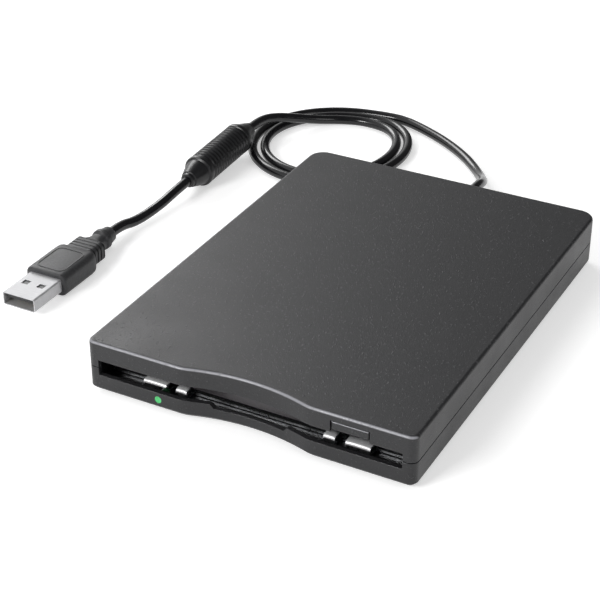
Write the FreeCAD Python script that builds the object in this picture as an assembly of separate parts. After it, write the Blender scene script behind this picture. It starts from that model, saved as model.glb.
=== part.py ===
import FreeCAD, Part
import math
import os

os.makedirs("parts", exist_ok=True)
V = FreeCAD.Vector
X_AXIS = V(1, 0, 0)
Y_AXIS = V(0, 1, 0)
Z_AXIS = V(0, 0, 1)

# An external floppy disk drive lying on its four feet, in millimetres.
# +X is to the right seen from the front, +Y to the back, +Z up.
# The origin is the middle of the footprint, on the surface it stands on.

# Case, outside
CASE_WIDTH = 103.0
CASE_DEPTH = 142.0
CASE_BOTTOM = 1.0
FRONT_CORNER_R = 2.4
BACK_CORNER_R = 5.5
TOP_EDGE_R = 1.0
BOTTOM_EDGE_CUT = 1.2
SIDE_WALL = 1.6
FLOOR_WALL = 1.5
ROOF_WALL = 1.6
ROOF_AIR = 0.8
SEAM_RISE = 2.5
SEAM_GAP = 0.35
LIP_THICKNESS = 0.7
LIP_HEIGHT = 1.2
LIP_CLEARANCE = 0.1

# The wave in the middle of the front, a shallow recess in plan
WAVE_HALF_WIDTH = 21.5
WAVE_DEPTH = 3.2
WAVE_SHOULDER_R = 12.0

# Disk slot and the thumb notch in its lower lip
SLOT_END = 3.75
SLOT_HEIGHT = 5.0
NOTCH_HALF_WIDTH = 11.0
NOTCH_DROP = 1.4
NOTCH_SLOPE = 1.2

# Ribs under the roof
ROOF_RIB_INSET = 5.5
ROOF_RIB_WIDTH = 1.0
ROOF_RIB_DEPTH = 0.4
ROOF_RIB_FROM_SPINDLE = (-3.0, 17.0)

# Feet and case screws
FOOT_R = 5.0
FOOT_SEAT_DEPTH = 0.6
FOOT_SIDE = 10.5
FOOT_FROM_FRONT = 11.0
FOOT_FROM_BACK = 17.0
SCREW_R = 1.0
SCREW_HEAD_R = 1.9
SCREW_HEAD_HEIGHT = 1.0
SCREW_SIDES = 10
SCREW_GRIP = 4.5
HEAD_CLEARANCE = 0.3
HEAD_DEPTH = 2.0
BOSS_R = 3.0
BOSS_SIDE = 7.0
BOSS_FROM_BACK = 6.5

# General clearances
RUNNING = 0.06
AIR = 0.35
OVERLAP = 0.1
THROUGH = 1.0

# Chassis, a pressed steel tray
CHASSIS_SIDE_AIR = 0.9
CHASSIS_FROM_FRONT = 9.0
CHASSIS_FROM_BACK = 11.0
CHASSIS_WALL = 0.7
CHASSIS_LIFT = 0.3
CHASSIS_WALL_RISE = 0.1
CHASSIS_SCREW_INSET = 16.0
CHASSIS_SCREW_FROM_FRONT = 22.0
CHASSIS_SCREW_FROM_BACK = 8.0
CHASSIS_SCREW_DEPTH = 1.2
PAD_HALF = 2.9
TAB_FROM_CHASSIS = 3.6
TAB_RISE = 2.1
TAB_SHELF = 2.4
WIDE_TAB_INSET = 11.75
WIDE_TAB_WIDTH = 7.5
NARROW_TAB_INSET = 22.55
NARROW_TAB_WIDTH = 3.4
CARRIAGE_WINDOW_X = (-19.0, 14.5)
CARRIAGE_WINDOW_FROM_SPINDLE = 19.0
FLOOR_WINDOW_X = 30.0
FLOOR_WINDOW_HALF_WIDTH = 5.0
FLOOR_WINDOW_HALF_DEPTH = 6.0
FLOOR_WINDOW_FROM_SPINDLE = (-14.0, 14.0)
WALL_WINDOW_FROM_SPINDLE = (-18.0, 0.0)
WALL_WINDOW_HEIGHT = 4.5
WINDOW_CORNER = 1.5

# Spindle motor
SPINDLE_FROM_FRONT = 59.0
MOTOR_BOARD_THICKNESS = 0.5
MOTOR_BOARD_HALF_WIDTH = 28.0
MOTOR_BOARD_FRONT = 25.0
MOTOR_BOARD_BACK = 16.0
MOTOR_BOARD_TAIL_INSET = 3.0
MOTOR_BOARD_TAIL_DEPTH = 8.0
COIL_COUNT = 9
COIL_SIDES = 8
COIL_RING_R = 11.0
COIL_R = 2.9
COIL_HEIGHT = 0.7
COIL_FIRST_DEG = 10.0
ROTOR_R = 17.0
ROTOR_WEB = 0.4
HUB_R = 12.5
HUB_RISE = 0.25
SHAFT_R = 1.2
SHAFT_LIFT = 0.2
SPINDLE_TIP_RISE = 1.45
DRIVE_PIN_X = 9.5
DRIVE_PIN_R = 0.7
DRIVE_PIN_SHORT = 0.4
BEARING_R = 4.2

# Disk holder
HOLDER_SIDE_AIR = 2.0
HOLDER_FROM_CHASSIS = 4.0
HOLDER_BACK_FROM_CHASSIS = 27.0
HOLDER_SHEET = 0.6
HOLDER_OVER_ROTOR = 1.15
HOLDER_HEIGHT = 5.3
HOLDER_FLANGE = 2.8
HOLDER_DROP = 2.2
HOLDER_WINDOW_X = 26.0
HOLDER_WINDOW_HALF_WIDTH = 9.0
HOLDER_WINDOW_FROM_SPINDLE = (-16.0, 8.0)
HOLDER_WINDOW_CORNER = 3.0
HEAD_SLOT_HALF_WIDTH = 9.5
HEAD_SLOT_FROM_SPINDLE = 16.0
HOLDER_PIN_R = 0.9
HOLDER_PIN_RISE = 2.0
HOLDER_PIN_FROM_FRONT = (13.0, 58.0)
HOLDER_PIN_END_AIR = 0.05

# Slider and eject button
EJECT_TRAVEL = 5.5
SLIDER_SHEET = 0.6
SLIDER_SIDE_AIR = 0.5
SLIDER_BRIDGE_AIR = 0.5
SLIDER_FLOOR_AIR = 0.4
SLIDER_FROM_HOLDER = 2.0
SLIDER_PAST_PIN = 11.0
SLIDER_BRIDGE_DEPTH = 30.0
SLIDER_WINDOW_X = 22.0
SLIDER_WINDOW_HALF_WIDTH = 12.0
SLIDER_WINDOW_Y = (6.0, 24.0)
BUTTON_LEFT = 26.7
BUTTON_WIDTH = 11.1
BUTTON_OVER_SLOT = 0.7
BUTTON_HEIGHT = 2.6
BUTTON_LENGTH = 7.5
BUTTON_SUNK = 0.1
BUTTON_GAP = 0.35
BUTTON_EDGE_R = 0.35
BUTTON_STEM_HALF_WIDTH = 3.0
BUTTON_STEM_OVER_BRIDGE = 4.0

# Slider springs
SPRING_INSET = 2.9
SPRING_COIL_R = 0.75
SPRING_WIRE_R = 0.18
SPRING_TURNS = 6
SPRING_SIDES = 8
SPRING_FROM_SLIDER = 0.5
SPRING_LENGTH = 18.5
SPRING_RISE = 1.4
ANCHOR_HALF_WIDTH = 1.2
ANCHOR_OVER_SPRING = 0.6
ANCHOR_UNDER_SPRING = 0.7
HOOK_POST_FRONT = 2.0
HOOK_POST_BACK = 3.0

# Dust door across the middle of the slot
DOOR_HALF_WIDTH = 20.0
DOOR_FROM_FRONT = 7.1
DOOR_THICKNESS = 0.9
DOOR_OVER_SILL = 0.2
DOOR_EDGE_R = 0.3
DOOR_PIVOT_OVER_SLOT = 1.1
DOOR_PIVOT_R = 0.7
DOOR_BARREL_R = 1.0
DOOR_PIN_LENGTH = 1.4
DOOR_EAR = 1.2
DOOR_EAR_AIR = 0.4
DOOR_EAR_HALF_DEPTH = 1.5
DOOR_EAR_DROP = 1.6

# Shutter lever on the holder
LEVER_PIVOT_INSET = 10.3
LEVER_PIVOT_FROM_BACK = 5.0
LEVER_LENGTH = 24.0
LEVER_THICKNESS = 0.8
LEVER_HALF_WIDTH = 1.6
LEVER_HUB_R = 3.0
LEVER_PIN_R = 1.1
LEVER_PIN_HEAD = 0.4
LEVER_PEG_R = 0.9
LEVER_PEG_LENGTH = 2.0

# Heads, carriage and their drive
HEAD_FROM_SPINDLE = 24.7
HEAD_R = 2.2
LOWER_HEAD_RISE = 1.75
UPPER_HEAD_LENGTH = 2.05
ROD_R = 0.8
ROD_OVER_CHASSIS = 1.2
ROD_LEFT_X = -14.0
ROD_RIGHT_X = 10.0
ROD_FROM_SPINDLE = 17.0
ROD_FROM_BACK = 7.0
CARRIAGE_SIDE = 2.2
CARRIAGE_UNDER_ROD = 1.1
CARRIAGE_OVER_ROD = 1.1
CARRIAGE_NOSE = 4.2
CARRIAGE_FROM_BACK = 27.0
CARRIAGE_POCKET_X = (-10.0, 6.5)
CARRIAGE_POCKET_FROM_HEAD = 5.3
TOWER_HALF_WIDTH = 5.5
TOWER_LENGTH = 6.0
TOWER_EAR = 0.8
TOWER_EAR_INSET = 0.5
TOWER_EAR_RISE = 1.2
ARM_OVER_HOLDER = 1.1
ARM_PIN_R = 0.7
ARM_BARREL_R = 1.35
ARM_SHEET = 0.7
ARM_HALF_WIDTH = 4.4
ARM_TIP_HALF_WIDTH = 3.4
ARM_NOSE = 3.0
ARM_WINDOW_HALF_WIDTH = 2.0
ARM_WINDOW_END = 5.0
SCREW_AXIS_X = 20.5
SCREW_AXIS_RISE = 4.1
LEAD_R = 1.2
LEAD_TIP_R = 0.8
LEAD_TIP_LENGTH = 1.6
LEAD_PAST_NUT = 0.5
NUT_FROM_CARRIAGE_BACK = 8.0
NUT_LENGTH = 3.0
NUT_HALF_WIDTH = 2.4
NUT_ARM_DROP = 0.6
NUT_ARM_RISE = 0.4
MOTOR_R = 4.1
MOTOR_FROM_BACK = 15.8
MOTOR_LENGTH = 10.5
MOTOR_END_R = 2.9
MOTOR_END_LENGTH = 0.6
MOTOR_SHAFT_DEPTH = 3.0
BRACKET_SHEET = 0.6
BRACKET_LEFT = 4.0
BRACKET_RIGHT = 6.0
BRACKET_EAR_RISE = 2.0
BRACKET_BACK_RISE = 3.5

# Disk switches: each one's name, its side and how far it stands in from the holder's wall
SWITCHES = (("write_protect", -1, 7.8), ("disk_in", -1, 16.3), ("density", 1, 7.8))
SWITCH_FROM_CHASSIS = 10.0
SWITCH_SIDE = 4.4
SWITCH_HEIGHT = 1.5
PLUNGER_HALF = 0.8
PLUNGER_LIFT = 0.8
PLUNGER_LENGTH = 2.0

# Control board and its chips: (from the board's left, from its back, half sizes)
BOARD_THICKNESS = 0.6
BOARD_STANDOFF = 0.4
BOARD_FOOT_HALF = 1.0
BOARD_FOOT_INSET = 2.0
BOARD_SCREW_AIR = 0.8
CONTROL_BOARD_INSET = 6.2
CONTROL_BOARD_RIGHT = -21.0
CONTROL_BOARD_FROM_SPINDLE = 21.0
CONTROL_BOARD_FROM_BACK = 4.0
CHIP_HEIGHT = 0.5
MAIN_CHIP = (5.8, 7.0, 5.0)
SMALL_CHIP = (7.0, 23.0, 3.5)
MEMORY_CHIP = (3.8, 12.0, 2.5, 4.0)

# Interface board by the lead, and the flat cable to it
USB_BOARD_FROM_BOSS = 6.5
USB_BOARD_FROM_CABLE = 5.0
USB_BOARD_FROM_BACK = (6.4, 2.0)
USB_BOARD_RISE = 1.7
USB_POST_INSET = 3.0
USB_POST_HALF = 1.0
USB_POST_FRONT = 0.5
BRIDGE_CHIP = (14.5, 3.5, 1.7)
POWER_CHIP = (5.5, 2.5, 1.0)
RIBBON_FROM_BOARD_RIGHT = 15.0
RIBBON_WIDTH = 12.0
RIBBON_THICKNESS = 0.25
RIBBON_LAP = 3.0
RIBBON_END_LAP = 1.2
RIBBON_HUMP = 0.9
RIBBON_RISE_AT = 3.2
RIBBON_HUMP_AT = 6.0

# Activity light
LED_X = -28.0
LED_Z = 4.2
LED_R = 1.1
LED_SUNK = 0.05
LED_BODY_R = 1.3
LED_BODY_LENGTH = 3.0

# Cable
CABLE_R = 1.75
CABLE_SIDES = 8
CABLE_EXIT_X = 2.5
CABLE_EXIT_Z = 8.0
FLOOR_AIR = 0.05
LYING_Z = CABLE_R + FLOOR_AIR
RELIEF_BASE_R = 3.0
RELIEF_FLANGE_R = 4.0
RELIEF_FLANGE = 1.5
RELIEF_COLLAR_R = 3.6
RELIEF_COLLAR = 1.2
RELIEF_STEPS = ((2.75, 4.0), (2.5, 6.6), (2.3, 9.0))
RELIEF_LENGTH = RELIEF_STEPS[-1][1]

# The coil: the extreme points of its first loop, and how far each next loop draws in
COIL_TURNS = 2
COIL_TOP = (-56.5, 138.6)
COIL_LEFT = (-93.2, 106.5)
COIL_BOTTOM = (-62.0, 73.6)
COIL_RIGHT = (-35.0, 106.0)
STEP_TOP = 4.3
STEP_LEFT = 4.6
STEP_BOTTOM = 5.0
STEP_RIGHT = 4.5
SAMPLE = 1.5

# Ferrite sleeve on the cable
FERRITE_X = -90.8
FERRITE_BACK_Y = 92.0
FERRITE_FRONT_Y = 47.5
FERRITE_BACK_Z = 7.9
FERRITE_FRONT_Z = 5.85
FERRITE_R = 5.7
FERRITE_COLLAR_R = 3.2
FERRITE_COLLAR_LENGTH = 3.6
FERRITE_NECK_R = 4.6
FERRITE_NECK_LENGTH = 3.9

# Plug
PLUG_X = -95.2
PLUG_Z = 4.0
PLUG_FRONT = -31.2
PLUG_BODY_LENGTH = 18.2
PLUG_BODY_WIDTH = 15.0
PLUG_BODY_HEIGHT = 7.8
PLUG_CORNER_R = 2.2
PLUG_END_STEP = 0.6
PLUG_BAR_WIDTH = 11.0
PLUG_BAR_HEIGHT = 6.6
PLUG_BAR_LENGTH = 1.2
PLUG_BAR_CORNER = 1.6
PLUG_BARS = 4
PLUG_CORE_INSET = 0.5
PLUG_BLOCK_LENGTH = 7.0
PLUG_NECK_WIDTH = 6.2
PLUG_NECK_HEIGHT = 5.4
PLUG_NECK_CORNER = 1.6
PLUG_NECK_LENGTH = 5.5
PLUG_COLLAR_R = 3.6
PLUG_COLLAR_END_R = 2.9
PLUG_COLLAR_BAND = 1.6
PLUG_COLLAR_LENGTH = 5.8
PANEL_HALF_WIDTH = 5.2
PANEL_FRONT = 1.6
PANEL_BACK = 2.6
PANEL_DEPTH = 0.25
PANEL_CORNER_R = 2.0
SHELL_WIDTH = 12.0
SHELL_HEIGHT = 4.5
SHELL_LENGTH = 14.4
SHELL_SHEET = 0.3
SHELL_CORNER_R = 0.6
SHELL_SEAT = 3.0
SHELL_WINDOW = 2.4
SHELL_WINDOW_X = 2.9
SHELL_WINDOW_BACK = 6.2
TONGUE_THICKNESS = 1.8
TONGUE_SHORT = 1.0
TONGUE_SIDE_AIR = 0.3
TONGUE_AIR = 0.02
TONGUE_ROOT = 2.2
CONTACT_X = (-3.5, -1.0, 1.0, 3.5)
CONTACT_WIDTH = 1.0
CONTACT_HEIGHT = 0.15
CONTACT_SHORT = 1.0

# Plan places worked out from the sizes above
HALF_WIDTH = CASE_WIDTH / 2
FRONT = -CASE_DEPTH / 2
BACK = CASE_DEPTH / 2
FRONT_INNER = FRONT + SIDE_WALL
BACK_INNER = BACK - SIDE_WALL
SLOT_HALF_WIDTH = HALF_WIDTH - SLOT_END
FOOT_X = HALF_WIDTH - FOOT_SIDE
BOSS_X = HALF_WIDTH - BOSS_SIDE
BOSS_Y = BACK - BOSS_FROM_BACK
SPINDLE_Y = FRONT + SPINDLE_FROM_FRONT
CHASSIS_HALF_WIDTH = HALF_WIDTH - SIDE_WALL - CHASSIS_SIDE_AIR
CHASSIS_FRONT = FRONT + CHASSIS_FROM_FRONT
CHASSIS_BACK = BACK - CHASSIS_FROM_BACK
CHASSIS_SCREW_X = CHASSIS_HALF_WIDTH - CHASSIS_SCREW_INSET
CHASSIS_SCREW_Y = (CHASSIS_FRONT + CHASSIS_SCREW_FROM_FRONT, CHASSIS_BACK - CHASSIS_SCREW_FROM_BACK)
TAB_FRONT = CHASSIS_FRONT - TAB_FROM_CHASSIS
HOLDER_HALF_WIDTH = CHASSIS_HALF_WIDTH - CHASSIS_WALL - HOLDER_SIDE_AIR
HOLDER_FRONT = CHASSIS_FRONT + HOLDER_FROM_CHASSIS
HOLDER_BACK = CHASSIS_BACK - HOLDER_BACK_FROM_CHASSIS
HOLDER_PIN_Y = [HOLDER_FRONT + y for y in HOLDER_PIN_FROM_FRONT]
RAIL_OUTER = CHASSIS_HALF_WIDTH - CHASSIS_WALL - SLIDER_SIDE_AIR
SLIDER_FRONT = HOLDER_FRONT + SLIDER_FROM_HOLDER
SLIDER_BACK = HOLDER_PIN_Y[-1] + SLIDER_PAST_PIN
SPRING_X = HOLDER_HALF_WIDTH - SPRING_INSET
SPRING_FRONT_Y = SLIDER_FRONT - SPRING_FROM_SLIDER
SPRING_BACK_Y = SPRING_FRONT_Y + SPRING_LENGTH
DOOR_BACK = FRONT + DOOR_FROM_FRONT
DOOR_PIVOT_Y = DOOR_BACK - DOOR_THICKNESS / 2
LEVER_PIVOT_X = -(HOLDER_HALF_WIDTH - LEVER_PIVOT_INSET)
LEVER_PIVOT_Y = HOLDER_BACK - LEVER_PIVOT_FROM_BACK
HEAD_Y = SPINDLE_Y + HEAD_FROM_SPINDLE
CARRIAGE_FRONT = HEAD_Y - CARRIAGE_NOSE
CARRIAGE_BACK = BACK - CARRIAGE_FROM_BACK
TOWER_FRONT = CARRIAGE_BACK - TOWER_LENGTH
ARM_PIVOT_Y = CARRIAGE_BACK - TOWER_LENGTH / 2
ROD_FRONT = SPINDLE_Y + ROD_FROM_SPINDLE
ROD_BACK = BACK - ROD_FROM_BACK
NUT_FRONT = CARRIAGE_BACK - NUT_FROM_CARRIAGE_BACK
LEAD_BACK = NUT_FRONT - LEAD_PAST_NUT
LEAD_FRONT = LEAD_BACK - LEAD_TIP_LENGTH
MOTOR_FRONT = BACK - MOTOR_FROM_BACK
MOTOR_BACK = MOTOR_FRONT + MOTOR_LENGTH
SWITCH_Y = CHASSIS_FRONT + SWITCH_FROM_CHASSIS
CONTROL_BOARD_LEFT = -(CHASSIS_HALF_WIDTH - CONTROL_BOARD_INSET)
CONTROL_BOARD_FRONT = SPINDLE_Y + CONTROL_BOARD_FROM_SPINDLE
CONTROL_BOARD_BACK = CHASSIS_BACK - CONTROL_BOARD_FROM_BACK
USB_BOARD_LEFT = -(BOSS_X - USB_BOARD_FROM_BOSS)
USB_BOARD_RIGHT = CABLE_EXIT_X - USB_BOARD_FROM_CABLE
USB_BOARD_FRONT = BACK - USB_BOARD_FROM_BACK[0]
USB_BOARD_BACK = BACK - USB_BOARD_FROM_BACK[1]

# Heights, stacked up from the surface
FLOOR_TOP = CASE_BOTTOM + FLOOR_WALL
CHASSIS_BOTTOM = FLOOR_TOP + CHASSIS_LIFT
CHASSIS_TOP = CHASSIS_BOTTOM + CHASSIS_WALL
COIL_BOTTOM_Z = CHASSIS_TOP + MOTOR_BOARD_THICKNESS
ROTOR_BOTTOM = COIL_BOTTOM_Z + COIL_HEIGHT + AIR
ROTOR_TOP = ROTOR_BOTTOM + ROTOR_WEB
SPINDLE_TIP_Z = ROTOR_TOP + SPINDLE_TIP_RISE
HOLDER_FLOOR_Z = ROTOR_TOP + HOLDER_OVER_ROTOR
HOLDER_ROOF_Z = HOLDER_FLOOR_Z + HOLDER_HEIGHT
HOLDER_PIN_Z = HOLDER_FLOOR_Z + HOLDER_PIN_RISE
SLOT_BOTTOM = HOLDER_FLOOR_Z - OVERLAP
SLOT_TOP = SLOT_BOTTOM + SLOT_HEIGHT
SEAM_Z = SLOT_BOTTOM + SEAM_RISE
CHASSIS_WALL_TOP = HOLDER_ROOF_Z + CHASSIS_WALL_RISE
TAB_TOP = CHASSIS_TOP + TAB_RISE
SLIDER_RAIL_BOTTOM = CHASSIS_TOP + SLIDER_FLOOR_AIR
SLIDER_BRIDGE_Z = HOLDER_ROOF_Z + SLIDER_BRIDGE_AIR
SLIDER_TOP = SLIDER_BRIDGE_Z + SLIDER_SHEET
SPRING_Z = SLIDER_TOP + SPRING_RISE
ANCHOR_TOP = SPRING_Z + ANCHOR_OVER_SPRING
ROOF_BOTTOM = ANCHOR_TOP + ROOF_AIR
CASE_TOP = ROOF_BOTTOM + ROOF_WALL
BUTTON_BOTTOM = SLOT_TOP + BUTTON_OVER_SLOT
BUTTON_TOP = BUTTON_BOTTOM + BUTTON_HEIGHT
DOOR_BOTTOM = SLOT_BOTTOM + DOOR_OVER_SILL
DOOR_PIVOT_Z = SLOT_TOP + DOOR_PIVOT_OVER_SLOT
LEVER_TOP = HOLDER_ROOF_Z - HOLDER_SHEET - AIR
LEVER_BOTTOM = LEVER_TOP - LEVER_THICKNESS
ROD_Z = CHASSIS_BOTTOM + ROD_OVER_CHASSIS
CARRIAGE_BOTTOM = ROD_Z - CARRIAGE_UNDER_ROD
CARRIAGE_TOP = ROD_Z + CARRIAGE_OVER_ROD
LOWER_HEAD_TOP = CARRIAGE_TOP + LOWER_HEAD_RISE
ARM_BOTTOM = HOLDER_ROOF_Z + ARM_OVER_HOLDER
ARM_PIVOT_Z = ARM_BOTTOM
UPPER_HEAD_BOTTOM = ARM_BOTTOM - UPPER_HEAD_LENGTH
SCREW_AXIS_Z = CHASSIS_TOP + SCREW_AXIS_RISE
SWITCH_TOP = CHASSIS_TOP + SWITCH_HEIGHT
PLUNGER_FOOT = CHASSIS_TOP + PLUNGER_LIFT
BOARD_Z = CHASSIS_TOP + BOARD_STANDOFF
CHIP_Z = BOARD_Z + BOARD_THICKNESS
USB_BOARD_Z = FLOOR_TOP + USB_BOARD_RISE
USB_CHIP_Z = USB_BOARD_Z + BOARD_THICKNESS


def box(x0, x1, y0, y1, z0, z1):
    return Part.makeBox(x1 - x0, y1 - y0, z1 - z0, V(x0, y0, z0))


def rod(r, start, end):
    axis = end - start
    return Part.makeCylinder(r, axis.Length, start, axis)


def both_sides(shape):
    return [shape, shape.mirror(V(0, 0, 0), X_AXIS)]


def fuse(shapes):
    return shapes[0].multiFuse(shapes[1:]).removeSplitter()


def revolve(points, origin, axis, side):
    """Spin an outline of (distance from the axis, height along it) pairs."""
    corners = [origin + side * r + axis * h for r, h in points]
    face = Part.Face(Part.makePolygon(corners + corners[:1]))
    return face.revolve(origin, axis, 360)


def plate(points, z0, z1):
    corners = [V(x, y, z0) for x, y in points]
    return Part.Face(Part.makePolygon(corners + corners[:1])).extrude(V(0, 0, z1 - z0))


def rounded_plate(x0, x1, y0, y1, z0, z1, radius):
    block = box(x0, x1, y0, y1, z0, z1)
    upright = [e for e in block.Edges if abs(e.Vertexes[0].Z - e.Vertexes[-1].Z) > 1e-6]
    return block.makeFillet(radius, upright)


def window(x0, x1, y0, y1, z0, z1, corner):
    """A plate or cutter with its four corners cut off, no deeper than its sides allow."""
    c = min(corner, 0.4 * (x1 - x0), 0.4 * (y1 - y0))
    return plate([(x0 + c, y0), (x1 - c, y0), (x1, y0 + c), (x1, y1 - c),
                  (x1 - c, y1), (x0 + c, y1), (x0, y1 - c), (x0, y0 + c)], z0, z1)


def prism(sides, radius, x, y, z0, z1):
    """An upright bar with a few flat sides, for what is small or repeats."""
    turns = [2 * math.pi * (index + 0.5) / sides for index in range(sides)]
    return plate([(x + radius * math.cos(a), y + radius * math.sin(a)) for a in turns], z0, z1)


def slot_prism(radius, start, end, x0, x1):
    """A round-ended slot through a wall that faces X, from start to end in (y, z)."""
    a = V(x0, start[0], start[1])
    b = V(x0, end[0], end[1])
    along = (b - a).normalize()
    across = X_AXIS.cross(along) * radius
    sides = Part.makePolygon([a + across, b + across, b - across, a - across, a + across])
    depth = V(x1 - x0, 0, 0)
    middle = Part.Face(sides).extrude(depth)
    ends = [rod(radius, a, a + depth), rod(radius, b, b + depth)]
    return fuse([middle] + ends)


def arc_edge(centre, radius, start_deg, end_deg, z):
    """A plan arc given by its angles, run from the first to the second."""
    middle_deg = (start_deg + end_deg) / 2
    points = []
    for angle in (start_deg, middle_deg, end_deg):
        turn = math.radians(angle)
        points.append(V(centre[0] + radius * math.cos(turn), centre[1] + radius * math.sin(turn), z))
    return Part.Arc(*points).toShape(), points[0], points[2]


def case_outline(inset, z):
    """The case in plan, drawn in by inset all round, as one face."""
    half = CASE_WIDTH / 2
    span = (WAVE_HALF_WIDTH ** 2 + WAVE_DEPTH ** 2) / (2 * WAVE_DEPTH)
    swing = math.degrees(math.asin(WAVE_HALF_WIDTH / span))
    hollow_r = span - WAVE_SHOULDER_R
    shoulder_y = FRONT + WAVE_SHOULDER_R
    front = FRONT_CORNER_R
    back = BACK_CORNER_R
    pieces = [
        arc_edge((-half + front, FRONT + front), front - inset, 180, 270, z),
        arc_edge((-WAVE_HALF_WIDTH, shoulder_y), WAVE_SHOULDER_R - inset, 270, 270 + swing, z),
        arc_edge((0, FRONT + WAVE_DEPTH - hollow_r), hollow_r + inset, 90 + swing, 90 - swing, z),
        arc_edge((WAVE_HALF_WIDTH, shoulder_y), WAVE_SHOULDER_R - inset, 270 - swing, 270, z),
        arc_edge((half - front, FRONT + front), front - inset, 270, 360, z),
        arc_edge((half - back, BACK - back), back - inset, 0, 90, z),
        arc_edge((-half + back, BACK - back), back - inset, 90, 180, z),
    ]
    edges = []
    for index, (edge, start, end) in enumerate(pieces):
        edges.append(edge)
        following = pieces[(index + 1) % len(pieces)][1]
        if end.distanceToPoint(following) > 1e-6:
            edges.append(Part.LineSegment(end, following).toShape())
    return Part.Face(Part.Wire(edges))


def case_slab(inset, z0, z1):
    return case_outline(inset, z0).extrude(V(0, 0, z1 - z0))


def level_edges(shape, z):
    return [e for e in shape.Edges if all(abs(v.Z - z) < 1e-6 for v in e.Vertexes)]


def slot_cutter():
    deep = FRONT_INNER + WAVE_DEPTH + THROUGH
    main = box(-SLOT_HALF_WIDTH, SLOT_HALF_WIDTH, FRONT - THROUGH, deep, SLOT_BOTTOM, SLOT_TOP)
    low = SLOT_BOTTOM - NOTCH_DROP
    high = SLOT_BOTTOM + OVERLAP
    wide = NOTCH_HALF_WIDTH + NOTCH_SLOPE
    outline = [(-wide, SLOT_BOTTOM), (-NOTCH_HALF_WIDTH, low), (NOTCH_HALF_WIDTH, low), (wide, SLOT_BOTTOM),
               (wide, high), (-wide, high)]
    corners = [V(x, FRONT - THROUGH, z) for x, z in outline]
    notch = Part.Face(Part.makePolygon(corners + corners[:1])).extrude(V(0, deep - FRONT + THROUGH, 0))
    return main.fuse(notch)


def button_cutter():
    return box(BUTTON_LEFT - BUTTON_GAP, BUTTON_LEFT + BUTTON_WIDTH + BUTTON_GAP, FRONT - THROUGH,
               FRONT_INNER + THROUGH, SLOT_TOP - OVERLAP, BUTTON_TOP + BUTTON_GAP)


def boss_places():
    return [(-BOSS_X, BOSS_Y), (BOSS_X, BOSS_Y)]


def foot_places():
    return [(sx * FOOT_X, y) for sx in (-1, 1) for y in (FRONT + FOOT_FROM_FRONT, BACK - FOOT_FROM_BACK)]


def chassis_screw_places():
    return [(sx * CHASSIS_SCREW_X, y) for sx in (-1, 1) for y in CHASSIS_SCREW_Y]


def relief_bore():
    return rod(RELIEF_BASE_R, V(CABLE_EXIT_X, BACK_INNER - THROUGH, CABLE_EXIT_Z),
               V(CABLE_EXIT_X, BACK + THROUGH, CABLE_EXIT_Z))


def door_ears():
    """Two ears under the roof that carry the dust door's pins."""
    x0 = DOOR_HALF_WIDTH + DOOR_EAR_AIR
    x1 = x0 + DOOR_EAR
    ear = box(x0, x1, DOOR_PIVOT_Y - DOOR_EAR_HALF_DEPTH, DOOR_PIVOT_Y + DOOR_EAR_HALF_DEPTH,
              DOOR_PIVOT_Z - DOOR_EAR_DROP, ROOF_BOTTOM + OVERLAP)
    bore = rod(DOOR_PIVOT_R + RUNNING, V(x0 - THROUGH, DOOR_PIVOT_Y, DOOR_PIVOT_Z),
               V(x1 + THROUGH, DOOR_PIVOT_Y, DOOR_PIVOT_Z))
    return both_sides(ear.cut(bore))


def make_top_cover():
    skin_bottom = SEAM_Z + SEAM_GAP / 2
    outer = case_slab(0, skin_bottom, CASE_TOP)
    outer = outer.makeFillet(TOP_EDGE_R, level_edges(outer, CASE_TOP))
    cover = outer.cut(case_slab(SIDE_WALL, skin_bottom - THROUGH, ROOF_BOTTOM))
    rebate_inset = SIDE_WALL - LIP_THICKNESS - LIP_CLEARANCE
    lip_top = SEAM_Z + LIP_HEIGHT + LIP_CLEARANCE
    cover = cover.cut(case_slab(rebate_inset, skin_bottom - THROUGH, lip_top))
    cover = cover.cut(slot_cutter())
    cover = cover.cut(button_cutter())
    cover = cover.cut(relief_bore())
    bosses = []
    for x, y in boss_places():
        post = rod(BOSS_R, V(x, y, SEAM_Z), V(x, y, ROOF_BOTTOM + OVERLAP))
        hole = prism(SCREW_SIDES, SCREW_R, x, y, SEAM_Z - THROUGH, SEAM_Z + SCREW_GRIP + AIR)
        bosses.append(post.cut(hole))
    ribs = []
    for offset in ROOF_RIB_FROM_SPINDLE:
        y = SPINDLE_Y + offset
        ribs.append(box(-HALF_WIDTH + ROOF_RIB_INSET, HALF_WIDTH - ROOF_RIB_INSET, y - ROOF_RIB_WIDTH / 2,
                        y + ROOF_RIB_WIDTH / 2, ROOF_BOTTOM - ROOF_RIB_DEPTH, ROOF_BOTTOM + OVERLAP))
    return fuse([cover] + bosses + door_ears() + ribs)


def usb_posts():
    """Two posts on the floor under the ends of the interface board."""
    posts = []
    for x in (USB_BOARD_LEFT + USB_POST_INSET, USB_BOARD_RIGHT - USB_POST_INSET):
        posts.append(box(x - USB_POST_HALF, x + USB_POST_HALF, USB_BOARD_FRONT + USB_POST_FRONT,
                         BACK_INNER + OVERLAP, FLOOR_TOP - OVERLAP, USB_BOARD_Z))
    return posts


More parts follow.
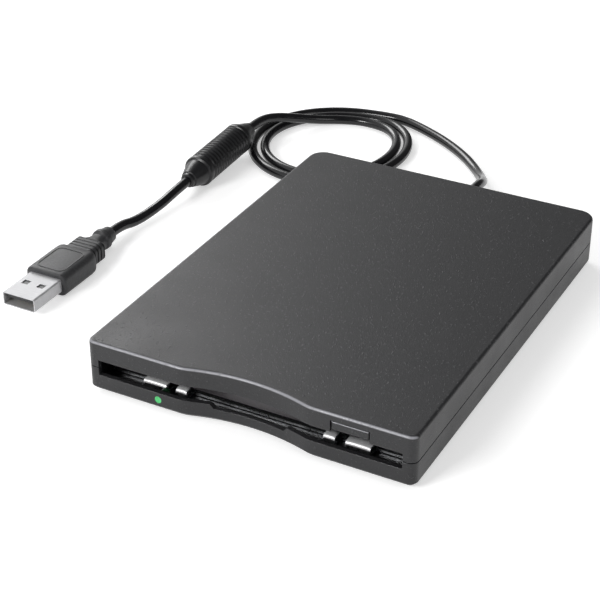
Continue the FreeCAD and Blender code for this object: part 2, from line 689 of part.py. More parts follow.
def make_bottom_cover():
    skin_top = SEAM_Z - SEAM_GAP / 2
    outer = case_slab(0, CASE_BOTTOM, skin_top)
    outer = outer.makeChamfer(BOTTOM_EDGE_CUT, level_edges(outer, CASE_BOTTOM))
    inner = case_slab(SIDE_WALL, FLOOR_TOP, SEAM_Z + LIP_HEIGHT + THROUGH)
    lip = case_slab(SIDE_WALL - LIP_THICKNESS, skin_top - THROUGH, SEAM_Z + LIP_HEIGHT)
    pads = usb_posts()
    for x, y in chassis_screw_places():
        pads.append(box(x - PAD_HALF, x + PAD_HALF, y - PAD_HALF, y + PAD_HALF,
                        FLOOR_TOP - OVERLAP, CHASSIS_BOTTOM))
    for x, y in boss_places():
        pads.append(rod(BOSS_R, V(x, y, FLOOR_TOP - OVERLAP), V(x, y, SEAM_Z)))
    shell = fuse([outer.fuse(lip).cut(inner)] + pads)
    shell = shell.cut(slot_cutter())
    shell = shell.cut(relief_bore())
    for x, y in foot_places():
        shell = shell.cut(rod(FOOT_R, V(x, y, 0), V(x, y, CASE_BOTTOM + FOOT_SEAT_DEPTH)))
    for x, y in boss_places():
        shell = shell.cut(rod(SCREW_HEAD_R + HEAD_CLEARANCE, V(x, y, 0), V(x, y, FLOOR_TOP + HEAD_DEPTH)))
        shell = shell.cut(prism(SCREW_SIDES, SCREW_R, x, y, 0, SEAM_Z + THROUGH))
    for x, y in chassis_screw_places():
        shell = shell.cut(prism(SCREW_SIDES, SCREW_R, x, y, CHASSIS_BOTTOM - CHASSIS_SCREW_DEPTH,
                                CHASSIS_BOTTOM + THROUGH))
    lamp_hole = rod(LED_R, V(LED_X, FRONT - THROUGH, LED_Z), V(LED_X, FRONT_INNER + THROUGH, LED_Z))
    return shell.cut(lamp_hole)


def make_rubber_feet():
    return Part.makeCompound([rod(FOOT_R, V(x, y, 0), V(x, y, CASE_BOTTOM + FOOT_SEAT_DEPTH))
                              for x, y in foot_places()])


def make_case_screws():
    """Two pan head screws from below, sunk in the floor of the case."""
    seat = FLOOR_TOP + HEAD_DEPTH
    screws = []
    for x, y in boss_places():
        head = rod(SCREW_HEAD_R, V(x, y, seat - SCREW_HEAD_HEIGHT), V(x, y, seat))
        screws.append(head.fuse(prism(SCREW_SIDES, SCREW_R, x, y, seat, SEAM_Z + SCREW_GRIP)))
    return Part.makeCompound(screws)


def make_chassis_screws():
    """Four flat-sided screws from above, through the tray into the case's pads."""
    screws = []
    for x, y in chassis_screw_places():
        head = prism(SCREW_SIDES, SCREW_HEAD_R, x, y, CHASSIS_TOP, CHASSIS_TOP + SCREW_HEAD_HEIGHT)
        shank = prism(SCREW_SIDES, SCREW_R, x, y, CHASSIS_BOTTOM - CHASSIS_SCREW_DEPTH + OVERLAP, CHASSIS_TOP)
        screws.append(head.fuse(shank))
    return Part.makeCompound(screws)


def spring_hooks():
    """The posts and inward hooks on the tray's walls that hold the front ends of the springs."""
    half = CHASSIS_HALF_WIDTH
    y0 = SPRING_FRONT_Y - CHASSIS_WALL
    post = box(half - CHASSIS_WALL, half, y0 - HOOK_POST_FRONT, SPRING_FRONT_Y + HOOK_POST_BACK,
               CHASSIS_WALL_TOP - OVERLAP, ANCHOR_TOP)
    hook = box(SPRING_X - ANCHOR_HALF_WIDTH, half, y0, SPRING_FRONT_Y,
               SPRING_Z - ANCHOR_UNDER_SPRING, ANCHOR_TOP)
    return both_sides(post) + both_sides(hook)


def front_tabs():
    """The bright tabs that stand up behind the slot, on tongues that run forward from the tray."""
    tabs = []
    for inset, width in ((WIDE_TAB_INSET, WIDE_TAB_WIDTH), (NARROW_TAB_INSET, NARROW_TAB_WIDTH)):
        high = SLOT_HALF_WIDTH - inset
        low = high - width
        tongue = box(low, high, TAB_FRONT, CHASSIS_FRONT + OVERLAP, CHASSIS_BOTTOM, CHASSIS_TOP)
        lip = box(low, high, TAB_FRONT, TAB_FRONT + CHASSIS_WALL, CHASSIS_BOTTOM, TAB_TOP)
        shelf = box(low, high, TAB_FRONT, TAB_FRONT + TAB_SHELF, TAB_TOP - CHASSIS_WALL, TAB_TOP)
        tabs += both_sides(tongue) + both_sides(lip) + both_sides(shelf)
    return tabs


def make_chassis():
    half = CHASSIS_HALF_WIDTH
    floor = box(-half, half, CHASSIS_FRONT, CHASSIS_BACK, CHASSIS_BOTTOM, CHASSIS_TOP)
    wall = box(half - CHASSIS_WALL, half, CHASSIS_FRONT, CHASSIS_BACK, CHASSIS_BOTTOM, CHASSIS_WALL_TOP)
    for y in HOLDER_PIN_Y:
        guide = slot_prism(HOLDER_PIN_R + RUNNING, (y, HOLDER_PIN_Z), (y, HOLDER_PIN_Z - HOLDER_DROP),
                           half - CHASSIS_WALL - THROUGH, half + THROUGH)
        wall = wall.cut(guide)
    y0, y1 = [SPINDLE_Y + offset for offset in WALL_WINDOW_FROM_SPINDLE]
    wall = wall.cut(box(half - CHASSIS_WALL - THROUGH, half + THROUGH, y0, y1, CHASSIS_TOP + CHASSIS_WALL,
                        CHASSIS_TOP + CHASSIS_WALL + WALL_WINDOW_HEIGHT))
    tray = fuse([floor] + both_sides(wall) + spring_hooks() + front_tabs())
    z0, z1 = CHASSIS_BOTTOM - THROUGH, CHASSIS_TOP + THROUGH
    x0, x1 = CARRIAGE_WINDOW_X
    tray = tray.cut(box(x0, x1, SPINDLE_Y + CARRIAGE_WINDOW_FROM_SPINDLE, CHASSIS_BACK + THROUGH, z0, z1))
    tray = tray.cut(rod(BEARING_R, V(0, SPINDLE_Y, z0), V(0, SPINDLE_Y, z1)))
    for offset in FLOOR_WINDOW_FROM_SPINDLE:
        y = SPINDLE_Y + offset
        opening = window(FLOOR_WINDOW_X - FLOOR_WINDOW_HALF_WIDTH, FLOOR_WINDOW_X + FLOOR_WINDOW_HALF_WIDTH,
                         y - FLOOR_WINDOW_HALF_DEPTH, y + FLOOR_WINDOW_HALF_DEPTH, z0, z1, WINDOW_CORNER)
        for side in both_sides(opening):
            tray = tray.cut(side)
    for x, y in chassis_screw_places():
        tray = tray.cut(prism(SCREW_SIDES, SCREW_R, x, y, z0, z1))
    return tray.cut(make_guide_rods())


def make_guide_rods():
    rods = [rod(ROD_R, V(x, ROD_FRONT, ROD_Z), V(x, ROD_BACK, ROD_Z)) for x in (ROD_LEFT_X, ROD_RIGHT_X)]
    return Part.makeCompound(rods)


def make_motor_board():
    half = MOTOR_BOARD_HALF_WIDTH
    back = SPINDLE_Y + MOTOR_BOARD_BACK
    front = SPINDLE_Y - MOTOR_BOARD_FRONT
    board = window(-half, half, front, back, CHASSIS_TOP, COIL_BOTTOM_Z, 2 * WINDOW_CORNER)
    tail = box(-CHASSIS_HALF_WIDTH + MOTOR_BOARD_TAIL_INSET, 0, back - MOTOR_BOARD_TAIL_DEPTH, back,
               CHASSIS_TOP, COIL_BOTTOM_Z)
    bore = rod(BEARING_R, V(0, SPINDLE_Y, CHASSIS_BOTTOM), V(0, SPINDLE_Y, ROTOR_BOTTOM))
    return fuse([board, tail]).cut(bore)


def make_stator_coils():
    coils = []
    for index in range(COIL_COUNT):
        turn = math.radians(360.0 * index / COIL_COUNT + COIL_FIRST_DEG)
        x = COIL_RING_R * math.cos(turn)
        y = SPINDLE_Y + COIL_RING_R * math.sin(turn)
        coils.append(prism(COIL_SIDES, COIL_R, x, y, COIL_BOTTOM_Z, COIL_BOTTOM_Z + COIL_HEIGHT))
    return Part.makeCompound(coils)


def make_spindle_bearing():
    bottom = V(0, SPINDLE_Y, CHASSIS_BOTTOM)
    top = V(0, SPINDLE_Y, ROTOR_BOTTOM - AIR)
    return rod(BEARING_R, bottom, top).cut(rod(SHAFT_R + RUNNING, bottom, top))


def make_spindle_rotor():
    foot = CHASSIS_BOTTOM + SHAFT_LIFT
    hub_top = ROTOR_TOP + HUB_RISE
    outline = [(0, foot), (SHAFT_R, foot), (SHAFT_R, ROTOR_BOTTOM), (ROTOR_R, ROTOR_BOTTOM),
               (ROTOR_R, ROTOR_TOP), (HUB_R, ROTOR_TOP), (HUB_R, hub_top), (SHAFT_R, hub_top),
               (SHAFT_R, SPINDLE_TIP_Z), (0, SPINDLE_TIP_Z)]
    rotor = revolve(outline, V(0, SPINDLE_Y, 0), Z_AXIS, X_AXIS)
    pin = prism(SCREW_SIDES, DRIVE_PIN_R, DRIVE_PIN_X, SPINDLE_Y, ROTOR_TOP, SPINDLE_TIP_Z - DRIVE_PIN_SHORT)
    return rotor.fuse(pin)


def make_disk_holder():
    half = HOLDER_HALF_WIDTH
    sheet = HOLDER_SHEET
    roof = box(-half, half, HOLDER_FRONT, HOLDER_BACK, HOLDER_ROOF_Z - sheet, HOLDER_ROOF_Z)
    wall = box(half - sheet, half, HOLDER_FRONT, HOLDER_BACK, HOLDER_FLOOR_Z, HOLDER_ROOF_Z)
    flange = box(half - HOLDER_FLANGE, half, HOLDER_FRONT, HOLDER_BACK,
                 HOLDER_FLOOR_Z, HOLDER_FLOOR_Z + sheet)
    pin_end = CHASSIS_HALF_WIDTH - HOLDER_PIN_END_AIR
    pins = [rod(HOLDER_PIN_R, V(half - sheet / 2, y, HOLDER_PIN_Z), V(pin_end, y, HOLDER_PIN_Z))
            for y in HOLDER_PIN_Y]
    solids = [roof]
    for piece in [wall, flange] + pins:
        solids += both_sides(piece)
    holder = fuse(solids)
    z0, z1 = HOLDER_ROOF_Z - THROUGH, HOLDER_ROOF_Z + THROUGH
    holder = holder.cut(box(-HEAD_SLOT_HALF_WIDTH, HEAD_SLOT_HALF_WIDTH, SPINDLE_Y + HEAD_SLOT_FROM_SPINDLE,
                            HOLDER_BACK + THROUGH, z0, z1))
    y0, y1 = [SPINDLE_Y + offset for offset in HOLDER_WINDOW_FROM_SPINDLE]
    opening = window(HOLDER_WINDOW_X - HOLDER_WINDOW_HALF_WIDTH, HOLDER_WINDOW_X + HOLDER_WINDOW_HALF_WIDTH,
                     y0, y1, z0, z1, HOLDER_WINDOW_CORNER)
    for side in both_sides(opening):
        holder = holder.cut(side)
    pivot = V(LEVER_PIVOT_X, LEVER_PIVOT_Y, z0)
    return holder.cut(rod(LEVER_PIN_R + RUNNING, pivot, pivot + V(0, 0, z1 - z0)))


def make_shutter_lever():
    x, y = LEVER_PIVOT_X, LEVER_PIVOT_Y
    tip_x = x + LEVER_LENGTH
    hub = rod(LEVER_HUB_R, V(x, y, LEVER_BOTTOM), V(x, y, LEVER_TOP))
    arm = box(x, tip_x, y - LEVER_HALF_WIDTH, y + LEVER_HALF_WIDTH, LEVER_BOTTOM, LEVER_TOP)
    tip = rod(LEVER_HALF_WIDTH, V(tip_x, y, LEVER_BOTTOM), V(tip_x, y, LEVER_TOP))
    peg = prism(SCREW_SIDES, LEVER_PEG_R, tip_x, y, LEVER_BOTTOM - LEVER_PEG_LENGTH, LEVER_BOTTOM + OVERLAP)
    pin = rod(LEVER_PIN_R, V(x, y, LEVER_TOP - OVERLAP), V(x, y, HOLDER_ROOF_Z + LEVER_PIN_HEAD))
    return fuse([hub, arm, tip, peg, pin])


def make_cam_slider():
    outer = RAIL_OUTER
    inner = outer - SLIDER_SHEET
    rail = box(inner, outer, SLIDER_FRONT, SLIDER_BACK, SLIDER_RAIL_BOTTOM, SLIDER_TOP)
    for y in HOLDER_PIN_Y:
        start = (y, HOLDER_PIN_Z)
        end = (y + EJECT_TRAVEL, HOLDER_PIN_Z - HOLDER_DROP)
        rail = rail.cut(slot_prism(HOLDER_PIN_R + RUNNING, start, end, inner - THROUGH, outer + THROUGH))
    bridge = box(-outer, outer, SLIDER_FRONT, SLIDER_FRONT + SLIDER_BRIDGE_DEPTH, SLIDER_BRIDGE_Z, SLIDER_TOP)
    anchor = box(SPRING_X - ANCHOR_HALF_WIDTH, SPRING_X + ANCHOR_HALF_WIDTH, SPRING_BACK_Y,
                 SPRING_BACK_Y + SLIDER_SHEET, SLIDER_BRIDGE_Z, ANCHOR_TOP)
    slider = fuse([bridge] + both_sides(rail) + both_sides(anchor))
    y0, y1 = [SLIDER_FRONT + y for y in SLIDER_WINDOW_Y]
    opening = window(SLIDER_WINDOW_X - SLIDER_WINDOW_HALF_WIDTH, SLIDER_WINDOW_X + SLIDER_WINDOW_HALF_WIDTH,
                     y0, y1, SLIDER_BRIDGE_Z - THROUGH, SLIDER_TOP + THROUGH, 2 * WINDOW_CORNER)
    for side in both_sides(opening):
        slider = slider.cut(side)
    return slider


def make_eject_button():
    front = FRONT + BUTTON_SUNK
    x0, x1 = BUTTON_LEFT, BUTTON_LEFT + BUTTON_WIDTH
    cap = box(x0, x1, front, front + BUTTON_LENGTH, BUTTON_BOTTOM, BUTTON_TOP)
    front_edges = [e for e in cap.Edges if all(abs(v.Y - front) < 1e-6 for v in e.Vertexes)]
    cap = cap.makeFillet(BUTTON_EDGE_R, front_edges)
    middle = (x0 + x1) / 2
    half = BUTTON_STEM_HALF_WIDTH
    stem = box(middle - half, middle + half, front + BUTTON_LENGTH - OVERLAP,
               SLIDER_FRONT + BUTTON_STEM_OVER_BRIDGE, SLIDER_TOP, BUTTON_TOP)
    return fuse([cap, stem])


def make_springs():
    """Two tension springs between the chassis hooks and the slider, with few-sided turns."""
    wire = SPRING_WIRE_R
    start_y = SPRING_FRONT_Y + 2 * wire
    length = SPRING_LENGTH - 4 * wire
    count = SPRING_TURNS * SPRING_SIDES
    points = []
    for index in range(count + 1):
        turn = 2 * math.pi * index / SPRING_SIDES
        points.append(V(SPRING_COIL_R * math.cos(turn), length * index / count, SPRING_COIL_R * math.sin(turn)))
    near = SPRING_COIL_R - wire
    far = SPRING_COIL_R + wire
    along = (points[1] - points[0]).normalize()
    up = X_AXIS.cross(along).normalize() * wire
    section = Part.makePolygon([V(near, 0, 0) - up, V(far, 0, 0) - up, V(far, 0, 0) + up, V(near, 0, 0) + up,
                                V(near, 0, 0) - up])
    coil = Part.makePolygon(points).makePipeShell([section], True, False, 1)
    return Part.makeCompound(both_sides(coil.translated(V(SPRING_X, start_y, SPRING_Z))))


def make_dust_door():
    width = V(2 * DOOR_HALF_WIDTH, 0, 0)
    pivot = V(-DOOR_HALF_WIDTH, DOOR_PIVOT_Y, DOOR_PIVOT_Z)
    leaf = box(-DOOR_HALF_WIDTH, DOOR_HALF_WIDTH, DOOR_BACK - DOOR_THICKNESS, DOOR_BACK,
               DOOR_BOTTOM, DOOR_PIVOT_Z)
    bottom_edge = [e for e in leaf.Edges if all(abs(v.Z - DOOR_BOTTOM) < 1e-6 for v in e.Vertexes)]
    leaf = leaf.makeFillet(DOOR_EDGE_R, bottom_edge)
    barrel = rod(DOOR_BARREL_R, pivot, pivot + width)
    reach = V(DOOR_PIN_LENGTH, 0, 0)
    pin = rod(DOOR_PIVOT_R, pivot - reach, pivot + width + reach)
    return fuse([leaf, barrel, pin])


def make_head_carriage():
    block = box(ROD_LEFT_X - CARRIAGE_SIDE, ROD_RIGHT_X + CARRIAGE_SIDE, CARRIAGE_FRONT, CARRIAGE_BACK,
                CARRIAGE_BOTTOM, CARRIAGE_TOP)
    half = TOWER_HALF_WIDTH
    tower_top = ARM_PIVOT_Z - ARM_BARREL_R - AIR
    tower = box(-half, half, TOWER_FRONT, CARRIAGE_BACK, CARRIAGE_TOP - OVERLAP, tower_top)
    ear = box(half - TOWER_EAR, half, TOWER_FRONT + TOWER_EAR_INSET, CARRIAGE_BACK - TOWER_EAR_INSET,
              tower_top - OVERLAP, ARM_PIVOT_Z + TOWER_EAR_RISE)
    ears = both_sides(ear)
    pin = rod(ARM_PIN_R, V(-half, ARM_PIVOT_Y, ARM_PIVOT_Z), V(half, ARM_PIVOT_Y, ARM_PIVOT_Z))
    head = rod(HEAD_R, V(0, HEAD_Y, CARRIAGE_TOP - OVERLAP), V(0, HEAD_Y, LOWER_HEAD_TOP))
    nut_back = NUT_FRONT + NUT_LENGTH
    arm = box(ROD_RIGHT_X, SCREW_AXIS_X + NUT_HALF_WIDTH, NUT_FRONT, nut_back,
              CARRIAGE_TOP - NUT_ARM_DROP, CARRIAGE_TOP + NUT_ARM_RISE)
    nut = box(SCREW_AXIS_X - NUT_HALF_WIDTH, SCREW_AXIS_X + NUT_HALF_WIDTH, NUT_FRONT, nut_back,
              CARRIAGE_TOP - NUT_ARM_DROP, SCREW_AXIS_Z + NUT_HALF_WIDTH)
    carriage = fuse([block, tower, head, arm, nut, pin] + ears)
    for x in (ROD_LEFT_X, ROD_RIGHT_X):
        carriage = carriage.cut(rod(ROD_R + RUNNING, V(x, ROD_FRONT, ROD_Z), V(x, ROD_BACK, ROD_Z)))
    carriage = carriage.cut(rod(LEAD_R + RUNNING, V(SCREW_AXIS_X, NUT_FRONT - THROUGH, SCREW_AXIS_Z),
                                V(SCREW_AXIS_X, nut_back + THROUGH, SCREW_AXIS_Z)))
    x0, x1 = CARRIAGE_POCKET_X
    pocket = window(x0, x1, HEAD_Y + CARRIAGE_POCKET_FROM_HEAD, TOWER_FRONT - 2 * TOWER_EAR,
                    CARRIAGE_BOTTOM - THROUGH, CARRIAGE_TOP + THROUGH, WINDOW_CORNER)
    return carriage.cut(pocket)


def make_upper_head_arm():
    half = ARM_HALF_WIDTH
    tip = ARM_TIP_HALF_WIDTH
    front_y = HEAD_Y - ARM_NOSE
    z0 = ARM_BOTTOM
    z1 = z0 + ARM_SHEET
    beam = plate([(-tip, front_y), (tip, front_y), (half, ARM_PIVOT_Y), (-half, ARM_PIVOT_Y)], z0, z1)
    head = rod(HEAD_R, V(0, HEAD_Y, UPPER_HEAD_BOTTOM), V(0, HEAD_Y, z0 + OVERLAP))
    barrel = rod(ARM_BARREL_R, V(-half, ARM_PIVOT_Y, ARM_PIVOT_Z), V(half, ARM_PIVOT_Y, ARM_PIVOT_Z))
    arm = fuse([beam, head, barrel])
    bore = rod(ARM_PIN_R + RUNNING, V(-half - THROUGH, ARM_PIVOT_Y, ARM_PIVOT_Z),
               V(half + THROUGH, ARM_PIVOT_Y, ARM_PIVOT_Z))
    opening = window(-ARM_WINDOW_HALF_WIDTH, ARM_WINDOW_HALF_WIDTH, HEAD_Y + ARM_WINDOW_END,
                     ARM_PIVOT_Y - ARM_WINDOW_END, z0 - THROUGH, z1 + THROUGH, WINDOW_CORNER)
    return arm.cut(bore).cut(opening)


def along_screw(radius, y0, y1):
    """A round bar on the lead screw's axis."""
    return rod(radius, V(SCREW_AXIS_X, y0, SCREW_AXIS_Z), V(SCREW_AXIS_X, y1, SCREW_AXIS_Z))


def make_lead_screw():
    body_back = MOTOR_FRONT - AIR
    tip = along_screw(LEAD_TIP_R, LEAD_FRONT, LEAD_BACK)
    body = along_screw(LEAD_R, LEAD_BACK, body_back)
    shaft = along_screw(LEAD_TIP_R, body_back - OVERLAP, MOTOR_FRONT + MOTOR_SHAFT_DEPTH)
    return fuse([tip, body, shaft])


def make_stepper_motor():
    body = along_screw(MOTOR_R, MOTOR_FRONT, MOTOR_BACK)
    end = along_screw(MOTOR_END_R, MOTOR_BACK, MOTOR_BACK + MOTOR_END_LENGTH)
    bore = along_screw(LEAD_TIP_R + RUNNING, MOTOR_FRONT - THROUGH, MOTOR_FRONT + MOTOR_SHAFT_DEPTH + AIR)
    return body.fuse(end).cut(bore)


def make_stepper_bracket():
    """The pressed bracket whose ears carry the screw's tip and the motor."""
    x0, x1 = SCREW_AXIS_X - BRACKET_LEFT, SCREW_AXIS_X + BRACKET_RIGHT
    y0 = LEAD_FRONT + OVERLAP
    y1 = y0 + BRACKET_SHEET
    base = box(x0, x1, y0, MOTOR_FRONT, CHASSIS_TOP, CHASSIS_TOP + BRACKET_SHEET)
    ear = box(x0, x1, y0, y1, CHASSIS_TOP, SCREW_AXIS_Z + BRACKET_EAR_RISE)
    back_ear = box(x0, x1, MOTOR_FRONT - BRACKET_SHEET, MOTOR_FRONT,
                   CHASSIS_TOP, SCREW_AXIS_Z + BRACKET_BACK_RISE)
    bracket = fuse([base, ear, back_ear])
    bracket = bracket.cut(along_screw(LEAD_TIP_R + RUNNING, y0 - THROUGH, y1 + OVERLAP))
    return bracket.cut(along_screw(LEAD_R + AIR, MOTOR_FRONT - BRACKET_SHEET - OVERLAP, MOTOR_FRONT + THROUGH))


def switch_x(side, inset):
    return side * (HOLDER_HALF_WIDTH - inset)


def square_bar(x, y, half, z0, z1):
    return box(x - half, x + half, y - half, y + half, z0, z1)


def make_switch_housings():
    housings = []
    for _, side, inset in SWITCHES:
        x = switch_x(side, inset)
        body = square_bar(x, SWITCH_Y, SWITCH_SIDE / 2, CHASSIS_TOP, SWITCH_TOP)
        bore = square_bar(x, SWITCH_Y, PLUNGER_HALF + RUNNING, CHASSIS_TOP, SWITCH_TOP + THROUGH)
        housings.append(body.cut(bore))
    return Part.makeCompound(housings)


def make_plunger(x):
    return square_bar(x, SWITCH_Y, PLUNGER_HALF, PLUNGER_FOOT, PLUNGER_FOOT + PLUNGER_LENGTH)


def make_control_board():
    x0, x1 = CONTROL_BOARD_LEFT, CONTROL_BOARD_RIGHT
    y0, y1 = CONTROL_BOARD_FRONT, CONTROL_BOARD_BACK
    board = box(x0, x1, y0, y1, BOARD_Z, CHIP_Z)
    inset = BOARD_FOOT_INSET
    feet = [square_bar(x, y, BOARD_FOOT_HALF, CHASSIS_TOP, BOARD_Z + OVERLAP)
            for x in (x0 + inset, x1 - inset) for y in (y0 + inset, y1 - inset)]
    notch = prism(SCREW_SIDES, SCREW_HEAD_R + BOARD_SCREW_AIR, -CHASSIS_SCREW_X, CHASSIS_SCREW_Y[-1],
                  CHASSIS_TOP - THROUGH, CHIP_Z + THROUGH)
    return fuse([board] + feet).cut(notch)


def chip(x, y, half_x, half_y, z):
    return box(x - half_x, x + half_x, y - half_y, y + half_y, z, z + CHIP_HEIGHT)


def make_control_chips():
    left, front, half = MAIN_CHIP
    main_chip = chip(CONTROL_BOARD_LEFT + left, CONTROL_BOARD_FRONT + front, half, half, CHIP_Z)
    right, back, half = SMALL_CHIP
    small_chip = chip(CONTROL_BOARD_RIGHT - right, CONTROL_BOARD_BACK - back, half, half, CHIP_Z)
    left, back, half_x, half_y = MEMORY_CHIP
    memory = chip(CONTROL_BOARD_LEFT + left, CONTROL_BOARD_BACK - back, half_x, half_y, CHIP_Z)
    return Part.makeCompound([main_chip, small_chip, memory])


def make_usb_board():
    return box(USB_BOARD_LEFT, USB_BOARD_RIGHT, USB_BOARD_FRONT, USB_BOARD_BACK, USB_BOARD_Z, USB_CHIP_Z)


def make_usb_chips():
    middle = (USB_BOARD_FRONT + USB_BOARD_BACK) / 2
    return Part.makeCompound([chip(USB_BOARD_RIGHT - right, middle, half_x, half_y, USB_CHIP_Z)
                              for right, half_x, half_y in (BRIDGE_CHIP, POWER_CHIP)])


def make_ribbon_cable():
    """The flat cable that steps from the control board across to the interface board."""
    thick = RIBBON_THICKNESS
    low, high = CHIP_Z, USB_CHIP_Z
    y0, y1 = CONTROL_BOARD_BACK - RIBBON_LAP, USB_BOARD_FRONT + RIBBON_END_LAP
    rise, hump = y0 + RIBBON_RISE_AT, y0 + RIBBON_HUMP_AT
    side = [(y0, low), (rise, low), (hump, high + RIBBON_HUMP), (y1 - THROUGH, high), (y1, high),
            (y1, high + thick), (y1 - THROUGH, high + thick), (hump, high + RIBBON_HUMP + thick),
            (rise - OVERLAP, low + thick), (y0, low + thick)]
    left = CONTROL_BOARD_RIGHT - RIBBON_FROM_BOARD_RIGHT
    corners = [V(left, y, z) for y, z in side]
    return Part.Face(Part.makePolygon(corners + corners[:1])).extrude(V(RIBBON_WIDTH, 0, 0))


def make_activity_led():
    start = V(LED_X, FRONT_INNER, LED_Z)
    return rod(LED_BODY_R, start, start + V(0, LED_BODY_LENGTH, 0))


def make_led_lens():
    return rod(LED_R, V(LED_X, FRONT + LED_SUNK, LED_Z), V(LED_X, FRONT_INNER, LED_Z))


def make_strain_relief():
    """A stepped grommet, held in the back wall between a flange inside and a collar outside."""
    inside = -SIDE_WALL - RELIEF_FLANGE
    outline = [(0, inside), (RELIEF_FLANGE_R, inside), (RELIEF_FLANGE_R, -SIDE_WALL),
               (RELIEF_BASE_R, -SIDE_WALL), (RELIEF_BASE_R, 0),
               (RELIEF_COLLAR_R, 0), (RELIEF_COLLAR_R, RELIEF_COLLAR)]
    start = RELIEF_COLLAR
    for r, end in RELIEF_STEPS:
        outline += [(r, start), (r, end)]
        start = end
    outline.append((0, start))
    return revolve(outline, V(CABLE_EXIT_X, BACK, CABLE_EXIT_Z), Y_AXIS, X_AXIS)


def round_route(points):
    """Straight runs joined by tangent arcs, each as large as its two runs allow."""
    edges = []
    radii = []
    here = points[0]
    for before, corner, after in zip(points, points[1:], points[2:]):
        back = before - corner
        ahead = after - corner
        half_turn = (math.pi - back.getAngle(ahead)) / 2
        cut = 0.45 * min(back.Length, ahead.Length)
        radii.append(cut / math.tan(half_turn))
        back.normalize()
        ahead.normalize()
        start = corner + back * cut
        end = corner + ahead * cut
        inward = (back + ahead).normalize()
        middle = corner + inward * (radii[-1] / math.cos(half_turn) - radii[-1])
        edges.append(Part.LineSegment(here, start).toShape())
        edges.append(Part.Arc(start, middle, end).toShape())
        here = end
    edges.append(Part.LineSegment(here, points[-1]).toShape())
    return Part.Wire(edges), radii


def cable_section(centre, along):
    """The cable's round, as a polygon that lies square to the line."""
    along = V(along).normalize()
    across = along.cross(Z_AXIS).normalize()
    upward = across.cross(along)
    corners = []
    for index in range(CABLE_SIDES):
        turn = 2 * math.pi * (index + 0.5) / CABLE_SIDES
        corners.append(centre + across * (CABLE_R * math.cos(turn)) + upward * (CABLE_R * math.sin(turn)))
    return Part.makePolygon(corners + corners[:1])


def section_area():
    return CABLE_SIDES / 2 * CABLE_R ** 2 * math.sin(2 * math.pi / CABLE_SIDES)


def tube(name, points):
    """The cable along a route, with its radii and its volume against section times length."""
    wire, radii = round_route(points)
    section = cable_section(points[0], points[1] - points[0])
    solid = wire.makePipeShell([section], True, False)
    ideal = section_area() * wire.Length
    print(name, "length", round(wire.Length, 1), "volume ratio", round(solid.Volume / ideal, 4),
          "radii", [round(r, 1) for r in radii])
    return solid, wire


def coil_corners():
    """The top, left, bottom and right points of each loop, with the way the cable runs there."""
    corners = []
    for turn in range(COIL_TURNS + 1):
        corners.append((V(COIL_TOP[0], COIL_TOP[1] - turn * STEP_TOP, LYING_Z), V(-1, 0, 0)))
        corners.append((V(COIL_LEFT[0] + turn * STEP_LEFT, COIL_LEFT[1], LYING_Z), V(0, -1, 0)))
        corners.append((V(COIL_BOTTOM[0], COIL_BOTTOM[1] + turn * STEP_BOTTOM, LYING_Z), V(1, 0, 0)))
        corners.append((V(COIL_RIGHT[0] - turn * STEP_RIGHT, COIL_RIGHT[1], LYING_Z), V(0, 1, 0)))
    return corners[:4 * COIL_TURNS + 1]


def biarc(p0, t0, p1, t1):
    """Two tangent arcs from p0 to p1 that leave along t0 and arrive along t1."""
    v = p1 - p0
    both = t0 + t1
    turn = 2 * (1 - t0.dot(t1))
    reach = (-v.dot(both) + math.sqrt(v.dot(both) ** 2 + turn * v.dot(v))) / turn
    first = p0 + t0 * reach
    second = p1 - t1 * reach
    join = (first + second) * 0.5
    edges = []
    for start, corner, end in ((p0, first, join), (join, second, p1)):
        chord = (start + end) * 0.5
        half = (end - start).Length / 2
        tall = (corner - chord).Length
        sagitta = half * tall / (half + math.sqrt(tall * tall + half * half))
        middle = chord + (corner - chord).normalize() * sagitta
        edges.append(Part.Arc(start, middle, end).toShape())
    return edges


def coil_wire():
    """The loops as one line of arcs, two to each quarter."""
    corners = coil_corners()
    edges = []
    for (p0, t0), (p1, t1) in zip(corners, corners[1:]):
        edges += biarc(p0, t0, p1, t1)
    return Part.Wire(edges)


def least_gap(wire):
    """The least air between turns that lie beside each other, measured on points of the line."""
    points = wire.discretize(Distance=SAMPLE)
    skip = int(4 * CABLE_R * math.pi / SAMPLE)
    gaps = [a.distanceToPoint(b) for i, a in enumerate(points) for b in points[i + skip:]]
    return min(gaps) - 2 * CABLE_R


def make_cable_coil():
    wire = coil_wire()
    section = cable_section(V(COIL_TOP[0], COIL_TOP[1], LYING_Z), V(-1, 0, 0))
    solid = wire.makePipeShell([section], True, False)
    ideal = section_area() * wire.Length
    print("cable_coil length", round(wire.Length, 1), "volume ratio", round(solid.Volume / ideal, 4),
          "least gap", round(least_gap(wire), 2))
    return solid, wire


def exit_route():
    """From the strain relief down to the surface and round to the start of the coil."""
    start = V(CABLE_EXIT_X, BACK + RELIEF_LENGTH, CABLE_EXIT_Z)
    end = V(COIL_TOP[0], COIL_TOP[1], LYING_Z)
    return [start,
            start + V(0, 8.5, 0),
            V(1.6, 96.5, 5.6),
            V(-2.0, 104.0, 2.9),
            V(-7.2, 111.5, LYING_Z),
            V(-14.5, 119.2, LYING_Z),
            V(-25.5, 127.6, LYING_Z),
            V(-37.5, 134.2, LYING_Z),
            end + V(8.5, 0, 0),
            end]


def ferrite_axis():
    back = V(FERRITE_X, FERRITE_BACK_Y, FERRITE_BACK_Z)
    front = V(FERRITE_X, FERRITE_FRONT_Y, FERRITE_FRONT_Z)
    return back, front


